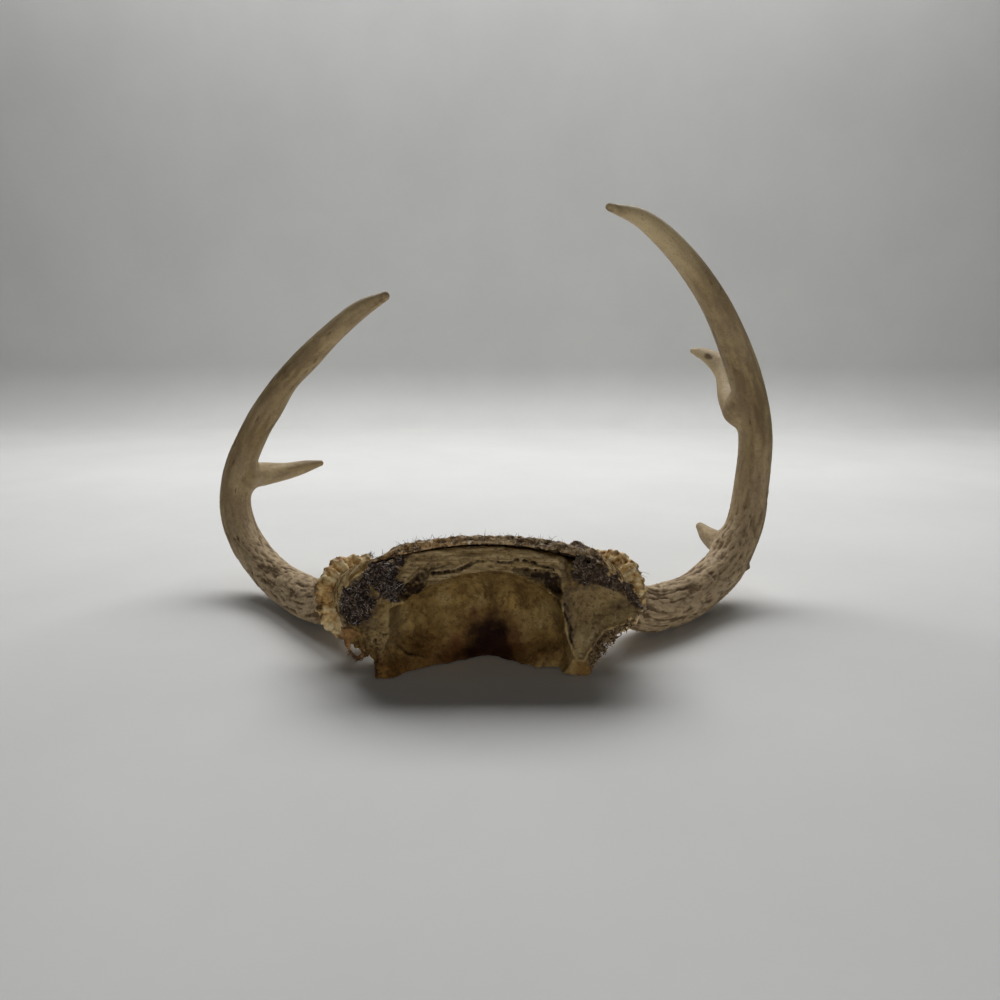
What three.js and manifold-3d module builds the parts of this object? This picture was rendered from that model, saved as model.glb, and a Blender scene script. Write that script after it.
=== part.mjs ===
// A pair of small deer antlers on their sawn skull plate.
// It stands on the plate's rear saw cut and on the backs of both beams, with the forehead cut upwards.
// Millimetres, +Z up. The crown of the skull faces +Y and the hollow, sawn underside faces -Y.
// The origin is on the standing surface, below the middle of the whole rack.
import * as THREE from "three";
import { mergeVertices } from "three/addons/utils/BufferGeometryUtils.js";
import Module from "manifold-3d";

const wasm = await Module();
wasm.setup();

// ---- driving dimensions ----
const GAP = 0.3; // clearance between two pieces that grew together
const LIMB_SIDES = 14; // facets round a beam or tine
const RING_STEP = 6.5; // length of beam between two rings of facets
const BALL_SEGMENTS = 28; // facets round a rounded bone form
const FAR = 300; // half the side of a block that cuts everything beyond a plane

// Each limb is a row of stations [x, y, z, radius] along its centre, from root to tip.
const RIGHT_BEAM = [
  [44, -49, 23.5, 9.4],
  [49.5, -42, 19.5, 9.3],
  [56.5, -37.5, 14.6, 9.4],
  [65, -33.5, 10.6, 9.5],
  [75, -26.5, 9.7, 9.6],
  [85, -17.5, 9.5, 9.55],
  [97, -5, 11.3, 9.5],
  [107, 5, 16.8, 9.2],
  [113.7, 12, 25.6, 8.8],
  [118.5, 17, 35.5, 8.3],
  [122, 21, 54, 7.9],
  [122.8, 21, 73.5, 7.5],
  [119, 19, 91, 7.4],
  [110.5, 15, 111, 7],
  [96.5, 6, 133.3, 5.9],
  [79.5, -7, 150.5, 4.9],
  [60, -22, 162.5, 3.2],
  [43, -36, 166, 1.2],
];
const LEFT_BEAM = [
  [-49.5, -47.5, 21, 9.2],
  [-55.5, -40, 17.2, 9.3],
  [-63.5, -32, 12.6, 9.3],
  [-73, -22.5, 9.8, 9.3],
  [-84.5, -9.5, 9, 8.95],
  [-97, 4, 10.4, 8.4],
  [-107.5, 14.5, 15, 8],
  [-115.5, 22, 21.7, 7.9],
  [-121, 28, 30.3, 7.6],
  [-123.5, 32, 41, 7.3],
  [-120.7, 34, 57, 7.1],
  [-110.7, 31, 76, 6.8],
  [-91.7, 21, 99.5, 5.9],
  [-67.3, 5.5, 120.5, 4.6],
  [-51, -7, 130.5, 3.3],
  [-38.5, -18, 135.5, 1.5],
];
const RIGHT_TINE = [
  [114, 22, 93, 7],
  [111, 38, 96, 6.6],
  [110, 52, 101.5, 4.9],
  [108, 64, 108, 3],
  [104.5, 71.5, 112, 1.3],
];
const RIGHT_BROW_TINE = [
  [111.5, 11, 24.5, 6],
  [109.3, 19, 24.5, 5.2],
  [107.7, 31, 26, 3.4],
  [105, 40, 28, 1.4],
];
const LEFT_TINE = [
  [-118.7, 34, 53, 6.3],
  [-114.5, 47, 51.3, 5.8],
  [-106.7, 60, 50.4, 4.4],
  [-98.5, 69, 51.2, 3.3],
  [-91.5, 74.5, 52, 1.6],
];

// The burr is the knobbly ring round the root of each beam.
const BURR_RADIUS = 16.8;
const BURR_THICKNESS = 7;
const PEDICLE_RADIUS = 12.5; // stalk of skull bone that carries each burr
const PEDICLE_LENGTH = 16;
const PEDICLE_FLARE = 1.5; // how much wider the stalk is where it meets the plate

// Skull plate. The flat saw cut at SAW_Y freed it from the skull. The rear saw cut is the floor, Z = 0.
const SAW_Y = -73;
const PLATE_DEPTH = 40; // deep enough to hold the whole dome
const PLATE_OUTLINE = [
  // [x, z] round the plate, seen square on to the underside
  [-39, 0],
  [-40, 6],
  [-47, 9],
  [-50.5, 15],
  [-52.5, 24],
  [-52, 30],
  [-47, 37],
  [-38, 42.5],
  [-27, 45.5],
  [-13, 47],
  [0, 47.5],
  [13, 46.5],
  [26, 43.5],
  [37, 40],
  [46, 36],
  [53, 31.5],
  [56, 26.5],
  [49, 20],
  [42, 13.5],
  [38.5, 6],
  [37, 0],
];
const DOME = { centre: [0, SAW_Y, 20], radii: [62, 28, 28.5] }; // crown side of the bone
const BRAIN_HOLLOW = { centre: [-3, SAW_Y - 1, 16], radii: [33.5, 23, 22] };
const REAR_HOLLOW = { centre: [-1, SAW_Y - 7, 0], radii: [37, 21, 20] };
const LEFT_SOCKET = { centre: [-43, SAW_Y - 7, 14], radii: [7, 9, 9] }; // scooped roof of each eye socket
const RIGHT_SOCKET = { centre: [41, SAW_Y - 7, 21], radii: [11.5, 10, 10] };
const BROW_CUT = { y: -71.5, z: 38, lean: 0.6, left: -31, right: 29 }; // saw cut through the forehead
const REAR_ARCH = { left: -30, right: 27, rise: 2.2 }; // the rear edge lifts between the two corners

// Dried soft tissue left on the bone.
const HIDE_THICKNESS = 3.2;
const HIDE_EDGES = { low: 30, left: -31, right: 30, front: -67 };
const LEFT_TISSUE = { centre: [-43, SAW_Y + 0.5, 29], radii: [8.5, 4.5, 9.5] };
const RIGHT_TISSUE = { centre: [41, SAW_Y + 1.5, 35], radii: [12.5, 4, 4.2] };

// ---- solids ----
const vector = ([x, y, z]) => new THREE.Vector3(x, y, z);

// A closed geometry as a manifold-3d solid.
function solidOf(geometry) {
  geometry.deleteAttribute("normal");
  geometry.deleteAttribute("uv");
  const merged = mergeVertices(geometry, 1e-4);
  return new wasm.Manifold(
    new wasm.Mesh({
      numProp: 3,
      vertProperties: merged.attributes.position.array,
      triVerts: new Uint32Array(merged.index.array),
    }),
  );
}

// A manifold-3d solid as a drawable geometry.
function geometryOf(solid) {
  const { vertProperties, triVerts } = solid.getMesh();
  const geometry = new THREE.BufferGeometry()
    .setAttribute("position", new THREE.BufferAttribute(vertProperties, 3))
    .setIndex(new THREE.BufferAttribute(triVerts, 1))
    .toNonIndexed();
  geometry.computeVertexNormals();
  return geometry;
}

// An ellipsoid, grown by extra on every side.
function ellipsoid({ centre, radii }, extra = 0) {
  const [a, b, c] = radii.map((r) => r + extra);
  const ball = new THREE.SphereGeometry(1, BALL_SEGMENTS, BALL_SEGMENTS / 2);
  return solidOf(ball.rotateX(Math.PI / 2).scale(a, b, c).translate(...centre));
}

// A block between two corners.
function block(low, high) {
  const size = vector(high).sub(vector(low));
  const middle = vector(high).add(vector(low)).multiplyScalar(0.5);
  return solidOf(new THREE.BoxGeometry(size.x, size.y, size.z).translate(middle.x, middle.y, middle.z));
}

// A round limb that follows its stations: a cylinder bent along the centre curve and scaled to each radius.
function limb(stations, extra = 0) {
  const centre = new THREE.CatmullRomCurve3(stations.map(vector), false, "centripetal");
  const radius = new THREE.SplineCurve(stations.map((s, i) => new THREE.Vector2(i, s[3])));
  const rings = Math.max(8, Math.round(centre.getLength() / RING_STEP));
  const frames = centre.computeFrenetFrames(rings, false);
  const tube = new THREE.CylinderGeometry(1, 1, 1, LIMB_SIDES, rings);
  const position = tube.attributes.position;
  for (let i = 0; i < position.count; i++) {
    const along = Math.min(1, Math.max(0, position.getY(i) + 0.5));
    const ring = Math.round(along * rings);
    const r = radius.getPoint(centre.getUtoTmapping(along)).y + extra;
    const point = centre
      .getPointAt(along)
      .addScaledVector(frames.binormals[ring], r * position.getX(i))
      .addScaledVector(frames.normals[ring], r * position.getZ(i));
    position.setXYZ(i, point.x, point.y, point.z);
  }
  return solidOf(tube);
}

// Turns a geometry built along +Y so that it starts at a limb's root and runs along the limb.
function atRoot(geometry, stations) {
  const root = vector(stations[0]);
  const direction = vector(stations[1]).sub(root).normalize();
  const turn = new THREE.Quaternion().setFromUnitVectors(new THREE.Vector3(0, 1, 0), direction);
  return solidOf(geometry.applyQuaternion(turn).translate(root.x, root.y, root.z));
}

// The scalloped burr, from its face on the pedicle outwards along the beam, grown by extra on every side.
function burr(stations, extra = 0) {
  const t = BURR_THICKNESS;
  const beamRadius = stations[0][3];
  const profile = [
    [0, -extra],
    [PEDICLE_RADIUS + extra, -extra],
    [BURR_RADIUS * 0.96 + extra, 0.15 * t - extra],
    [BURR_RADIUS + extra, 0.5 * t],
    [BURR_RADIUS * 0.82 + extra, 0.85 * t + extra],
    [beamRadius + extra, 1.25 * t + extra],
    [0, 1.25 * t + extra],
  ].map(([r, h]) => new THREE.Vector2(r, h));
  const ring = new THREE.LatheGeometry(profile, BALL_SEGMENTS);
  const position = ring.attributes.position;
  for (let i = 0; i < position.count; i++) {
    const x = position.getX(i);
    const z = position.getZ(i);
    const angle = Math.atan2(z, x);
    const knobs = 1 + 0.05 * Math.cos(6 * angle) + 0.03 * Math.cos(11 * angle + 1);
    position.setX(i, x * knobs);
    position.setZ(i, z * knobs);
  }
  return atRoot(ring, stations);
}

// A beam with its burr, grown by extra on every side.
const antler = (stations, extra = 0) => limb(stations, extra).add(burr(stations, extra));

// A tine that starts a gap clear of its beam.
const tine = (stations, beam) => limb(stations).subtract(limb(beam, GAP));

// The bone stalk that widens from a burr down to the plate.
function pedicle(stations, extra = 0) {
  const stalk = new THREE.CylinderGeometry(
    PEDICLE_RADIUS + extra,
    PEDICLE_RADIUS + PEDICLE_FLARE + extra,
    PEDICLE_LENGTH,
    BALL_SEGMENTS,
  );
  return atRoot(stalk.translate(0, -PEDICLE_LENGTH / 2, 0), stations);
}

// The outlined slab of bone that the dome and the hollows are carved from.
function plateSlab() {
  const outline = new THREE.Shape(PLATE_OUTLINE.map(([x, z]) => new THREE.Vector2(x, z)));
  const slab = new THREE.ExtrudeGeometry(outline, { depth: PLATE_DEPTH, bevelEnabled: false });
  return solidOf(slab.rotateX(Math.PI / 2).translate(0, SAW_Y + PLATE_DEPTH, 0));
}

// Bone lost to the saws: below the underside cut, behind the rear cut, ahead of the forehead cut and
// out of the low arch along the rear edge.
function sawnAway() {
  const underside = block([-FAR, -FAR, -FAR], [FAR, SAW_Y, FAR]);
  const rear = block([-FAR, -FAR, -FAR], [FAR, FAR, 0]);
  const brow = solidOf(
    new THREE.BoxGeometry(FAR, FAR, FAR)
      .translate(0, -FAR / 2, 0)
      .rotateX(-Math.atan(BROW_CUT.lean))
      .translate(0, BROW_CUT.y, BROW_CUT.z),
  );
  const browWidth = block([BROW_CUT.left, -FAR, 0], [BROW_CUT.right, FAR, FAR]);
  const { left, right, rise } = REAR_ARCH;
  const half = (right - left) / 2;
  const radius = (half * half + rise * rise) / (2 * rise);
  const arch = solidOf(
    new THREE.CylinderGeometry(radius, radius, FAR, 240)
      .translate((left + right) / 2, 0, rise - radius),
  );
  return underside.add(rear).add(brow.intersect(browWidth)).add(arch);
}

function skullPlate() {
  return plateSlab()
    .intersect(ellipsoid(DOME))
    .add(pedicle(LEFT_BEAM))
    .add(pedicle(RIGHT_BEAM))
    .subtract(ellipsoid(BRAIN_HOLLOW))
    .subtract(ellipsoid(REAR_HOLLOW))
    .subtract(ellipsoid(LEFT_SOCKET))
    .subtract(ellipsoid(RIGHT_SOCKET))
    .subtract(ellipsoid(LEFT_TISSUE, GAP))
    .subtract(ellipsoid(RIGHT_TISSUE, GAP))
    .subtract(antler(LEFT_BEAM, GAP))
    .subtract(antler(RIGHT_BEAM, GAP))
    .subtract(sawnAway());
}

// A sheet of dried skin over the forehead, between the burrs.
function driedHide() {
  const { low, left, right, front } = HIDE_EDGES;
  return ellipsoid(DOME, HIDE_THICKNESS)
    .subtract(ellipsoid(DOME, GAP))
    .intersect(block([left, front, low], [right, FAR, FAR]))
    .subtract(pedicle(LEFT_BEAM, GAP))
    .subtract(pedicle(RIGHT_BEAM, GAP))
    .subtract(antler(LEFT_BEAM, GAP))
    .subtract(antler(RIGHT_BEAM, GAP));
}

// ---- scene ----
const BONE = { color: 0xa8936a, roughness: 0.75, metalness: 0 };
const ANTLER = { color: 0x8f7a5c, roughness: 0.6, metalness: 0 };
const HIDE = { color: 0x5e4528, roughness: 0.9, metalness: 0 };
const TISSUE = { color: 0x3a2d27, roughness: 0.9, metalness: 0 };

const rack = new THREE.Group();

function place(name, solid, finish) {
  const mesh = new THREE.Mesh(geometryOf(solid), new THREE.MeshStandardMaterial(finish));
  mesh.name = name;
  rack.add(mesh);
}

// The backs of the beams are worn level where the rack stands on them.
const belowFloor = block([-FAR, -FAR, -FAR], [FAR, FAR, 0]);

place("skull_plate", skullPlate(), BONE);
place("dried_hide", driedHide(), HIDE);
place("left_dried_tissue", ellipsoid(LEFT_TISSUE), TISSUE);
place("right_dried_tissue", ellipsoid(RIGHT_TISSUE), TISSUE);
place("left_beam", antler(LEFT_BEAM).subtract(belowFloor), ANTLER);
place("left_tine", tine(LEFT_TINE, LEFT_BEAM), ANTLER);
place("right_beam", antler(RIGHT_BEAM).subtract(belowFloor), ANTLER);
place("right_brow_tine", tine(RIGHT_BROW_TINE, RIGHT_BEAM), ANTLER);
place("right_tine", tine(RIGHT_TINE, RIGHT_BEAM), ANTLER);

export default rack;
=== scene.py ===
"""Deer antlers on a sawn skull plate, with scraps of dried hide and tissue.

Shapes are worked out in millimetres in the row frame, as distance fields, and turned into closed meshes.
"""

import math

import bpy
import numpy as np
import openvdb
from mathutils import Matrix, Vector


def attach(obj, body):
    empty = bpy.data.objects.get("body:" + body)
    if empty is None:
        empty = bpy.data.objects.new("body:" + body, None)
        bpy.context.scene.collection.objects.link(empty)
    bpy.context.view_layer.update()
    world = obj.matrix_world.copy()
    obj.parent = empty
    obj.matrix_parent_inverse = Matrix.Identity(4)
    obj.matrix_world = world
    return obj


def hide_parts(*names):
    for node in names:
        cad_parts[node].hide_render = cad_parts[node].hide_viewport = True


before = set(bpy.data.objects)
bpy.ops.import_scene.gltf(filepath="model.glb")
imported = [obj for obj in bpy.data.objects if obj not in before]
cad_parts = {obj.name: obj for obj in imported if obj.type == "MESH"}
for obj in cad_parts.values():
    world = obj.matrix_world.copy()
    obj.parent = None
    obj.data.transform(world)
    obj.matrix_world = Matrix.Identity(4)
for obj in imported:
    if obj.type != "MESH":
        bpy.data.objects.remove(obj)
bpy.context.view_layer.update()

MM = 0.001
# grid steps in mm, coarse enough for under 200,000 triangles a piece
ANTLER_STEP, SKULL_STEP, HIDE_STEP, TISSUE_STEP, FLAP_STEP = 0.525, 0.49, 0.42, 0.33, 0.3
# lowest y of the tissue and of its shreds, and highest z of the hide, so that all stay in the CAD box
TISSUE_FRONT, SHRED_FRONT, HIDE_TOP = -77.6, -77.2, 51.8

# ---------------------------------------------------------------- stations
# [x, y, z, radius] along each limb's centre, from root to tip: the CAD model's, refined to the outlines
RIGHT_BEAM = [
    [44, -49, 23.5, 9.4], [49.5, -42, 19.5, 9.3], [56.5, -37.5, 14.6, 9.4], [65, -33.5, 10.6, 9.5],
    [75, -26.5, 9.7, 9.6], [85, -17.5, 9.5, 9.55], [97, -5, 11.3, 9.5], [107.8, 5, 16.6, 9.2],
    [115.1, 12, 25.4, 8.8], [120.1, 17, 35.5, 8.3], [122.9, 21, 54, 7.8], [122.9, 21, 73.5, 7.5],
    [118.8, 19, 91, 7.4], [110.2, 15, 111, 7], [96, 6, 133.4, 5.9], [78.7, -7, 150.9, 4.9],
    [59.6, -22, 162.9, 3.5], [44.4, -35.4, 165.6, 1.4],
]
LEFT_BEAM = [
    [-49.5, -47.5, 21, 9.2], [-55.5, -40, 17.2, 9.3], [-63.5, -32, 12.6, 9.3], [-73, -22.5, 9.8, 9.3],
    [-84.5, -9.5, 9, 8.95], [-97, 4, 10.4, 8.4], [-107.5, 14.5, 15, 8], [-115.5, 22, 21.7, 7.9],
    [-121, 28, 30.3, 7.6], [-123.5, 32, 41, 7.3], [-120.7, 34, 57, 7.1], [-110.7, 31, 76, 6.6],
    [-102, 27, 87.5, 6.5], [-91.9, 21, 99.7, 5.5], [-79, 13, 111, 5.3], [-67.3, 5.5, 120.2, 4.5],
    [-51.8, -7, 130.4, 3.7], [-40.2, -17.4, 135.2, 1.8],
]
RIGHT_TINE = [
    [114, 22, 86, 6.7], [115, 36, 91.5, 6.2], [115.2, 49, 101.5, 5.0], [111.9, 59, 107.6, 4.2],
    [107.6, 67.5, 110.3, 2.8], [104.7, 72, 111.3, 1.5],
]
RIGHT_BROW_TINE = [
    [111.5, 11, 24.2, 6.2], [108.9, 21, 23.3, 5.4], [107, 32, 24, 4.1], [105.2, 40, 26, 2.1],
]
LEFT_TINE = [
    [-118.7, 34, 53, 6.3], [-114.5, 47, 51.3, 5.8], [-106.7, 60, 50.4, 4.4], [-98.5, 69, 51.2, 3.3],
    [-91.5, 74.5, 52, 1.6],
]

# ---------------------------------------------------------------- noise
GRADIENTS = np.random.default_rng(11).normal(size=(4096, 3))
GRADIENTS = (GRADIENTS / np.linalg.norm(GRADIENTS, axis=1, keepdims=True)).astype(np.float32)


def noise(p, seed=0):
    """Smooth gradient noise, about -1 to 1, at points p of shape (n, 3)."""
    p = np.asarray(p, np.float32)
    cell = np.floor(p).astype(np.int64)
    part = (p - cell).astype(np.float32)
    ease = part * part * part * (part * (part * 6 - 15) + 10)
    total = np.zeros(len(p), np.float32)
    for corner in range(8):
        step = np.array([corner & 1, corner >> 1 & 1, corner >> 2 & 1])
        at = cell + step
        mixed = at[:, 0] * 73856093 ^ at[:, 1] * 19349663 ^ at[:, 2] * 83492791 ^ seed * 374761393
        mixed = (mixed ^ (mixed >> 13)) * 1274126177
        slope = GRADIENTS[(mixed ^ (mixed >> 16)) & 4095]
        weight = np.prod(np.where(step, ease, 1 - ease), axis=1)
        total += weight * np.einsum("ij,ij->i", slope, part - step)
    return total * 1.7


def layers(p, count, seed=0, gain=0.5):
    """Sum of count octaves of noise."""
    total, size = np.zeros(len(p), np.float32), 1.0
    for octave in range(count):
        total += size * noise(np.asarray(p) * 2.03**octave, seed + octave)
        size *= gain
    return total


def rise(low, high, value):
    """0 below low, 1 above high, smooth between; low may be above high."""
    t = np.clip((value - low) / (high - low), 0, 1)
    return t * t * (3 - 2 * t)


def bell(value, at, width):
    """1 where value is at, and less on both sides of it."""
    return np.exp(-(((value - at) / width) ** 2))


def blob(u, v, at_u, at_v, wide, high):
    """A round hill of height 1 in the plane."""
    return np.exp(-(((u - at_u) / wide) ** 2) - ((v - at_v) / high) ** 2)


# ---------------------------------------------------------------- distance fields
def joined(a, b, soft):
    """Both solids as one, with a fillet of about soft."""
    h = np.clip(0.5 + 0.5 * (b - a) / soft, 0, 1)
    return b * (1 - h) + a * h - soft * h * (1 - h)


def common(a, b, soft):
    return -joined(-a, -b, soft)


def ellipsoid(p, centre, radii):
    q = (p - np.array(centre)) / np.array(radii)
    near = np.linalg.norm(q, axis=1)
    far = np.linalg.norm(q / np.array(radii), axis=1)
    return near * (near - 1) / np.maximum(far, 1e-6)


def polygon(u, v, corners):
    """Signed distance to a polygon in the plane, negative inside."""
    corners = np.array(corners, float)
    best = np.full(len(u), 1e9)
    inside = np.zeros(len(u), bool)
    for (au, av), (bu, bv) in zip(corners, np.roll(corners, -1, axis=0)):
        eu, ev = bu - au, bv - av
        t = np.clip(((u - au) * eu + (v - av) * ev) / (eu * eu + ev * ev), 0, 1)
        best = np.minimum(best, (u - au - t * eu) ** 2 + (v - av - t * ev) ** 2)
        if av != bv:
            crosses = (av > v) != (bv > v)
            inside ^= crosses & (u < eu * (v - av) / ev + au)
    return np.where(inside, -1, 1) * np.sqrt(best)


def path(u, v, stations):
    """Distance to a polyline of [u, v, width] in the plane, less its half width."""
    best = np.full(len(u), 1e3)
    for (au, av, aw), (bu, bv, bw) in zip(stations, stations[1:]):
        eu, ev = bu - au, bv - av
        t = np.clip(((u - au) * eu + (v - av) * ev) / (eu * eu + ev * ev), 0, 1)
        d = np.hypot(u - au - t * eu, v - av - t * ev) - (aw + (bw - aw) * t) / 2
        best = np.minimum(best, d)
    return best


# ---------------------------------------------------------------- meshes
def surface(field, low, high, voxel):
    """Points (mm) and quads of the closed surface field(points) = 0 inside a box.

    The field is read coarsely first, and finely only in blocks near the surface.
    """
    side = 4
    low = np.array(low, float)
    blocks = np.ceil((np.array(high) - low) / (voxel * side)).astype(int)
    at = np.stack(np.meshgrid(*[np.arange(n) for n in blocks], indexing="ij"), -1).reshape(-1, 3)
    rough = field(low + (at * side + (side - 1) / 2) * voxel)
    grid = np.repeat(np.repeat(np.repeat(rough.reshape(blocks), side, 0), side, 1), side, 2)
    grid = grid.astype(np.float32)
    near = at[np.abs(rough) < voxel * side * 1.9]
    cell = np.stack(np.meshgrid(*[np.arange(side)] * 3, indexing="ij"), -1).reshape(-1, 3)
    for start in range(0, len(near), 4000):
        spots = (near[start : start + 4000, None] * side + cell).reshape(-1, 3)
        grid[tuple(spots.T)] = field(low + spots * voxel)
    grid[[0, -1]], grid[:, [0, -1]], grid[:, :, [0, -1]] = 1, 1, 1
    volume = openvdb.FloatGrid(1.0)
    volume.copyFromArray(np.ascontiguousarray(np.clip(grid / voxel, -3, 3)))
    points, triangles, quads = volume.convertToPolygons(isovalue=0.0, adaptivity=0.0)
    points = np.asarray(points, float) * voxel + low
    quads = np.asarray(quads, int)
    return whole(points, quads)


def whole(points, quads, least=0.02):
    """Drops bits that aren't joined to at least a share of all points, and turns faces outwards."""
    label = np.arange(len(points))
    edges = np.concatenate([quads[:, [i, (i + 1) % 4]] for i in range(4)])
    while True:
        before = label.copy()
        lower = np.minimum(label[edges[:, 0]], label[edges[:, 1]])
        np.minimum.at(label, edges[:, 0], lower)
        np.minimum.at(label, edges[:, 1], lower)
        label = label[label]
        if (label == before).all():
            break
    sizes = np.bincount(label, minlength=len(points))
    keep = sizes[label] >= max(8, least * len(points))
    quads = quads[keep[quads].all(axis=1)]
    index = np.cumsum(keep) - 1
    points, quads = points[keep], index[quads]
    a, b, c = (points[quads[:, i]] for i in (0, 1, 2))
    if np.einsum("ij,ij->", np.cross(a, b), c) < 0:
        quads = quads[:, ::-1]
    return points, quads


def normals(points, quads):
    """Direction of the surface at each point, from the diagonals of its faces."""
    a, b, c, d = (points[quads[:, i]] for i in range(4))
    across = np.cross(c - a, d - b)
    total = np.zeros_like(points)
    for corner in range(4):
        for axis in range(3):
            total[:, axis] += np.bincount(quads[:, corner], across[:, axis], len(points))
    return total / np.maximum(np.linalg.norm(total, axis=1, keepdims=True), 1e-9)


def piece(name, points, faces, masks=None):
    """A Blender object from points in mm, with per-point masks as attributes."""
    mesh = bpy.data.meshes.new(name)
    mesh.from_pydata((np.asarray(points) * MM).tolist(), [], [list(map(int, f)) for f in faces])
    mesh.validate()
    mesh.polygons.foreach_set("use_smooth", np.ones(len(mesh.polygons), bool))
    for key, values in (masks or {}).items():
        mesh.attributes.new(key, "FLOAT", "POINT").data.foreach_set("value", values.astype(np.float32))
    mesh.update()
    made = bpy.data.objects.new(name, mesh)
    bpy.context.scene.collection.objects.link(made)
    return made


# ---------------------------------------------------------------- limbs
def between(t, low, high, a, b):
    """Straight mix: a where t is low, b where it is high."""
    return (high - t) / (high - low) * a + (t - low) / (high - low) * b


def spline(stations, step=0.5):
    """Centripetal Catmull-Rom through the stations, sampled at even steps."""
    s = np.array(stations, float)
    s = np.vstack([2 * s[0] - s[1], s, 2 * s[-1] - s[-2]])
    rows = []
    for i in range(1, len(s) - 2):
        gaps = [math.dist(s[k, :3], s[k + 1, :3]) ** 0.5 for k in (i - 1, i, i + 1)]
        knots = np.concatenate([[0], np.cumsum(gaps)])
        t = np.linspace(knots[1], knots[2], 40, endpoint=False)[:, None]
        a = [between(t, knots[k], knots[k + 1], s[i - 1 + k], s[i + k]) for k in range(3)]
        b = [between(t, knots[k], knots[k + 2], a[k], a[k + 1]) for k in range(2)]
        rows.append(between(t, knots[1], knots[2], *b))
    line = np.vstack(rows + [s[-2:-1]])
    along = np.concatenate([[0], np.cumsum(np.linalg.norm(np.diff(line[:, :3], axis=0), axis=1))])
    even = np.linspace(0, along[-1], int(along[-1] / step))
    return np.stack([np.interp(even, along, line[:, k]) for k in range(4)], 1), even


class Limb:
    """A tapering round limb: centre, radius and a frame at each step along it."""

    def __init__(self, stations):
        line, self.along = spline(stations)
        self.centre, self.radius = line[:, :3], line[:, 3]
        ahead = np.gradient(self.centre, axis=0)
        self.ahead = ahead / np.linalg.norm(ahead, axis=1, keepdims=True)
        side = np.cross(self.ahead[0], [0, 0, 1.0])
        sides = []
        for tangent in self.ahead:
            side = side - tangent * (side @ tangent)
            side = side / np.linalg.norm(side)
            sides.append(side)
        self.side = np.array(sides)
        self.up = np.cross(self.ahead, self.side)

    def nearest(self, p):
        """Index of the step closest to each point."""
        found = np.empty(len(p), int)
        size = (self.centre**2).sum(axis=1)
        for start in range(0, len(p), 20000):
            part = p[start : start + 20000]
            found[start : start + 20000] = (size - 2 * part @ self.centre.T).argmin(axis=1)
        return found

    def distance(self, p):
        i = self.nearest(p)
        return np.linalg.norm(p - self.centre[i], axis=1) - self.radius[i]

    def grain(self, p, i, length, width):
        """Coordinates for noise that runs along the limb: length and width of its features in mm."""
        off = p - self.centre[i]
        reach = np.maximum(np.linalg.norm(off, axis=1), 1e-6)
        turn = off / reach[:, None] * np.maximum(self.radius[i], 4)[:, None]
        one, two = (np.einsum("ij,ij->i", turn, axis[i]) / width for axis in (self.side, self.up))
        return np.stack([self.along[i] / length, one, two], axis=1)


def root_axes(stations):
    """The root, the direction of the limb there and two directions square to it."""
    root, after = np.array(stations[0][:3], float), np.array(stations[1][:3], float)
    ahead = (after - root) / np.linalg.norm(after - root)
    side = np.cross(ahead, [0, 0, 1.0])
    side /= np.linalg.norm(side)
    return root, ahead, side, np.cross(ahead, side)


BURR_RADIUS = 16.8
# length and width in mm of the features of the noises fine, wide, long, broad and grit
BEAM_GRAIN = (4.2, 1.45), (15, 2.1), (34, 3.4), (30, 9), (1.6, 0.8)
TINE_GRAIN = (4.2, 1.45), (13, 2.0), (30, 3.2), (26, 8), (1.6, 0.8)


def around(p, root, ahead, side, up):
    """Height along an axis, distance from it and the two components across it."""
    off = p - root
    height, one, two = off @ ahead, off @ side, off @ up
    return height, np.hypot(one, two), one, two


def burr(p, axes, seed, shift):
    """The burr: a scalloped flange with folds that run out over its rim, leaning a little up the beam."""
    height, reach, one, two = around(p, *axes)
    circle = np.stack([one, two], 1) / np.maximum(reach, 1e-6)[:, None]
    folds = np.column_stack([circle * 5.6, height / 9])
    fold = noise(folds, seed) + 0.6 * noise(folds * [2.1, 2.1, 1], seed + 1)
    scallop = 1 - np.abs(noise(np.column_stack([circle * 2.3, height / 30]), seed + 2)) * 1.6
    rim = BURR_RADIUS - 0.5 + 0.65 * fold + 0.9 * scallop
    lean = shift + 0.16 * (reach - 9)
    thick = 3.1 - 0.1 * (reach - 9) + 0.75 * fold * rise(9, 12.5, reach)
    soft = 1.3
    out, across = reach - (rim - soft), np.abs(height - lean) - (thick - soft)
    return np.hypot(np.maximum(out, 0), np.maximum(across, 0)) + np.minimum(np.maximum(out, across), 0) - soft


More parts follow.
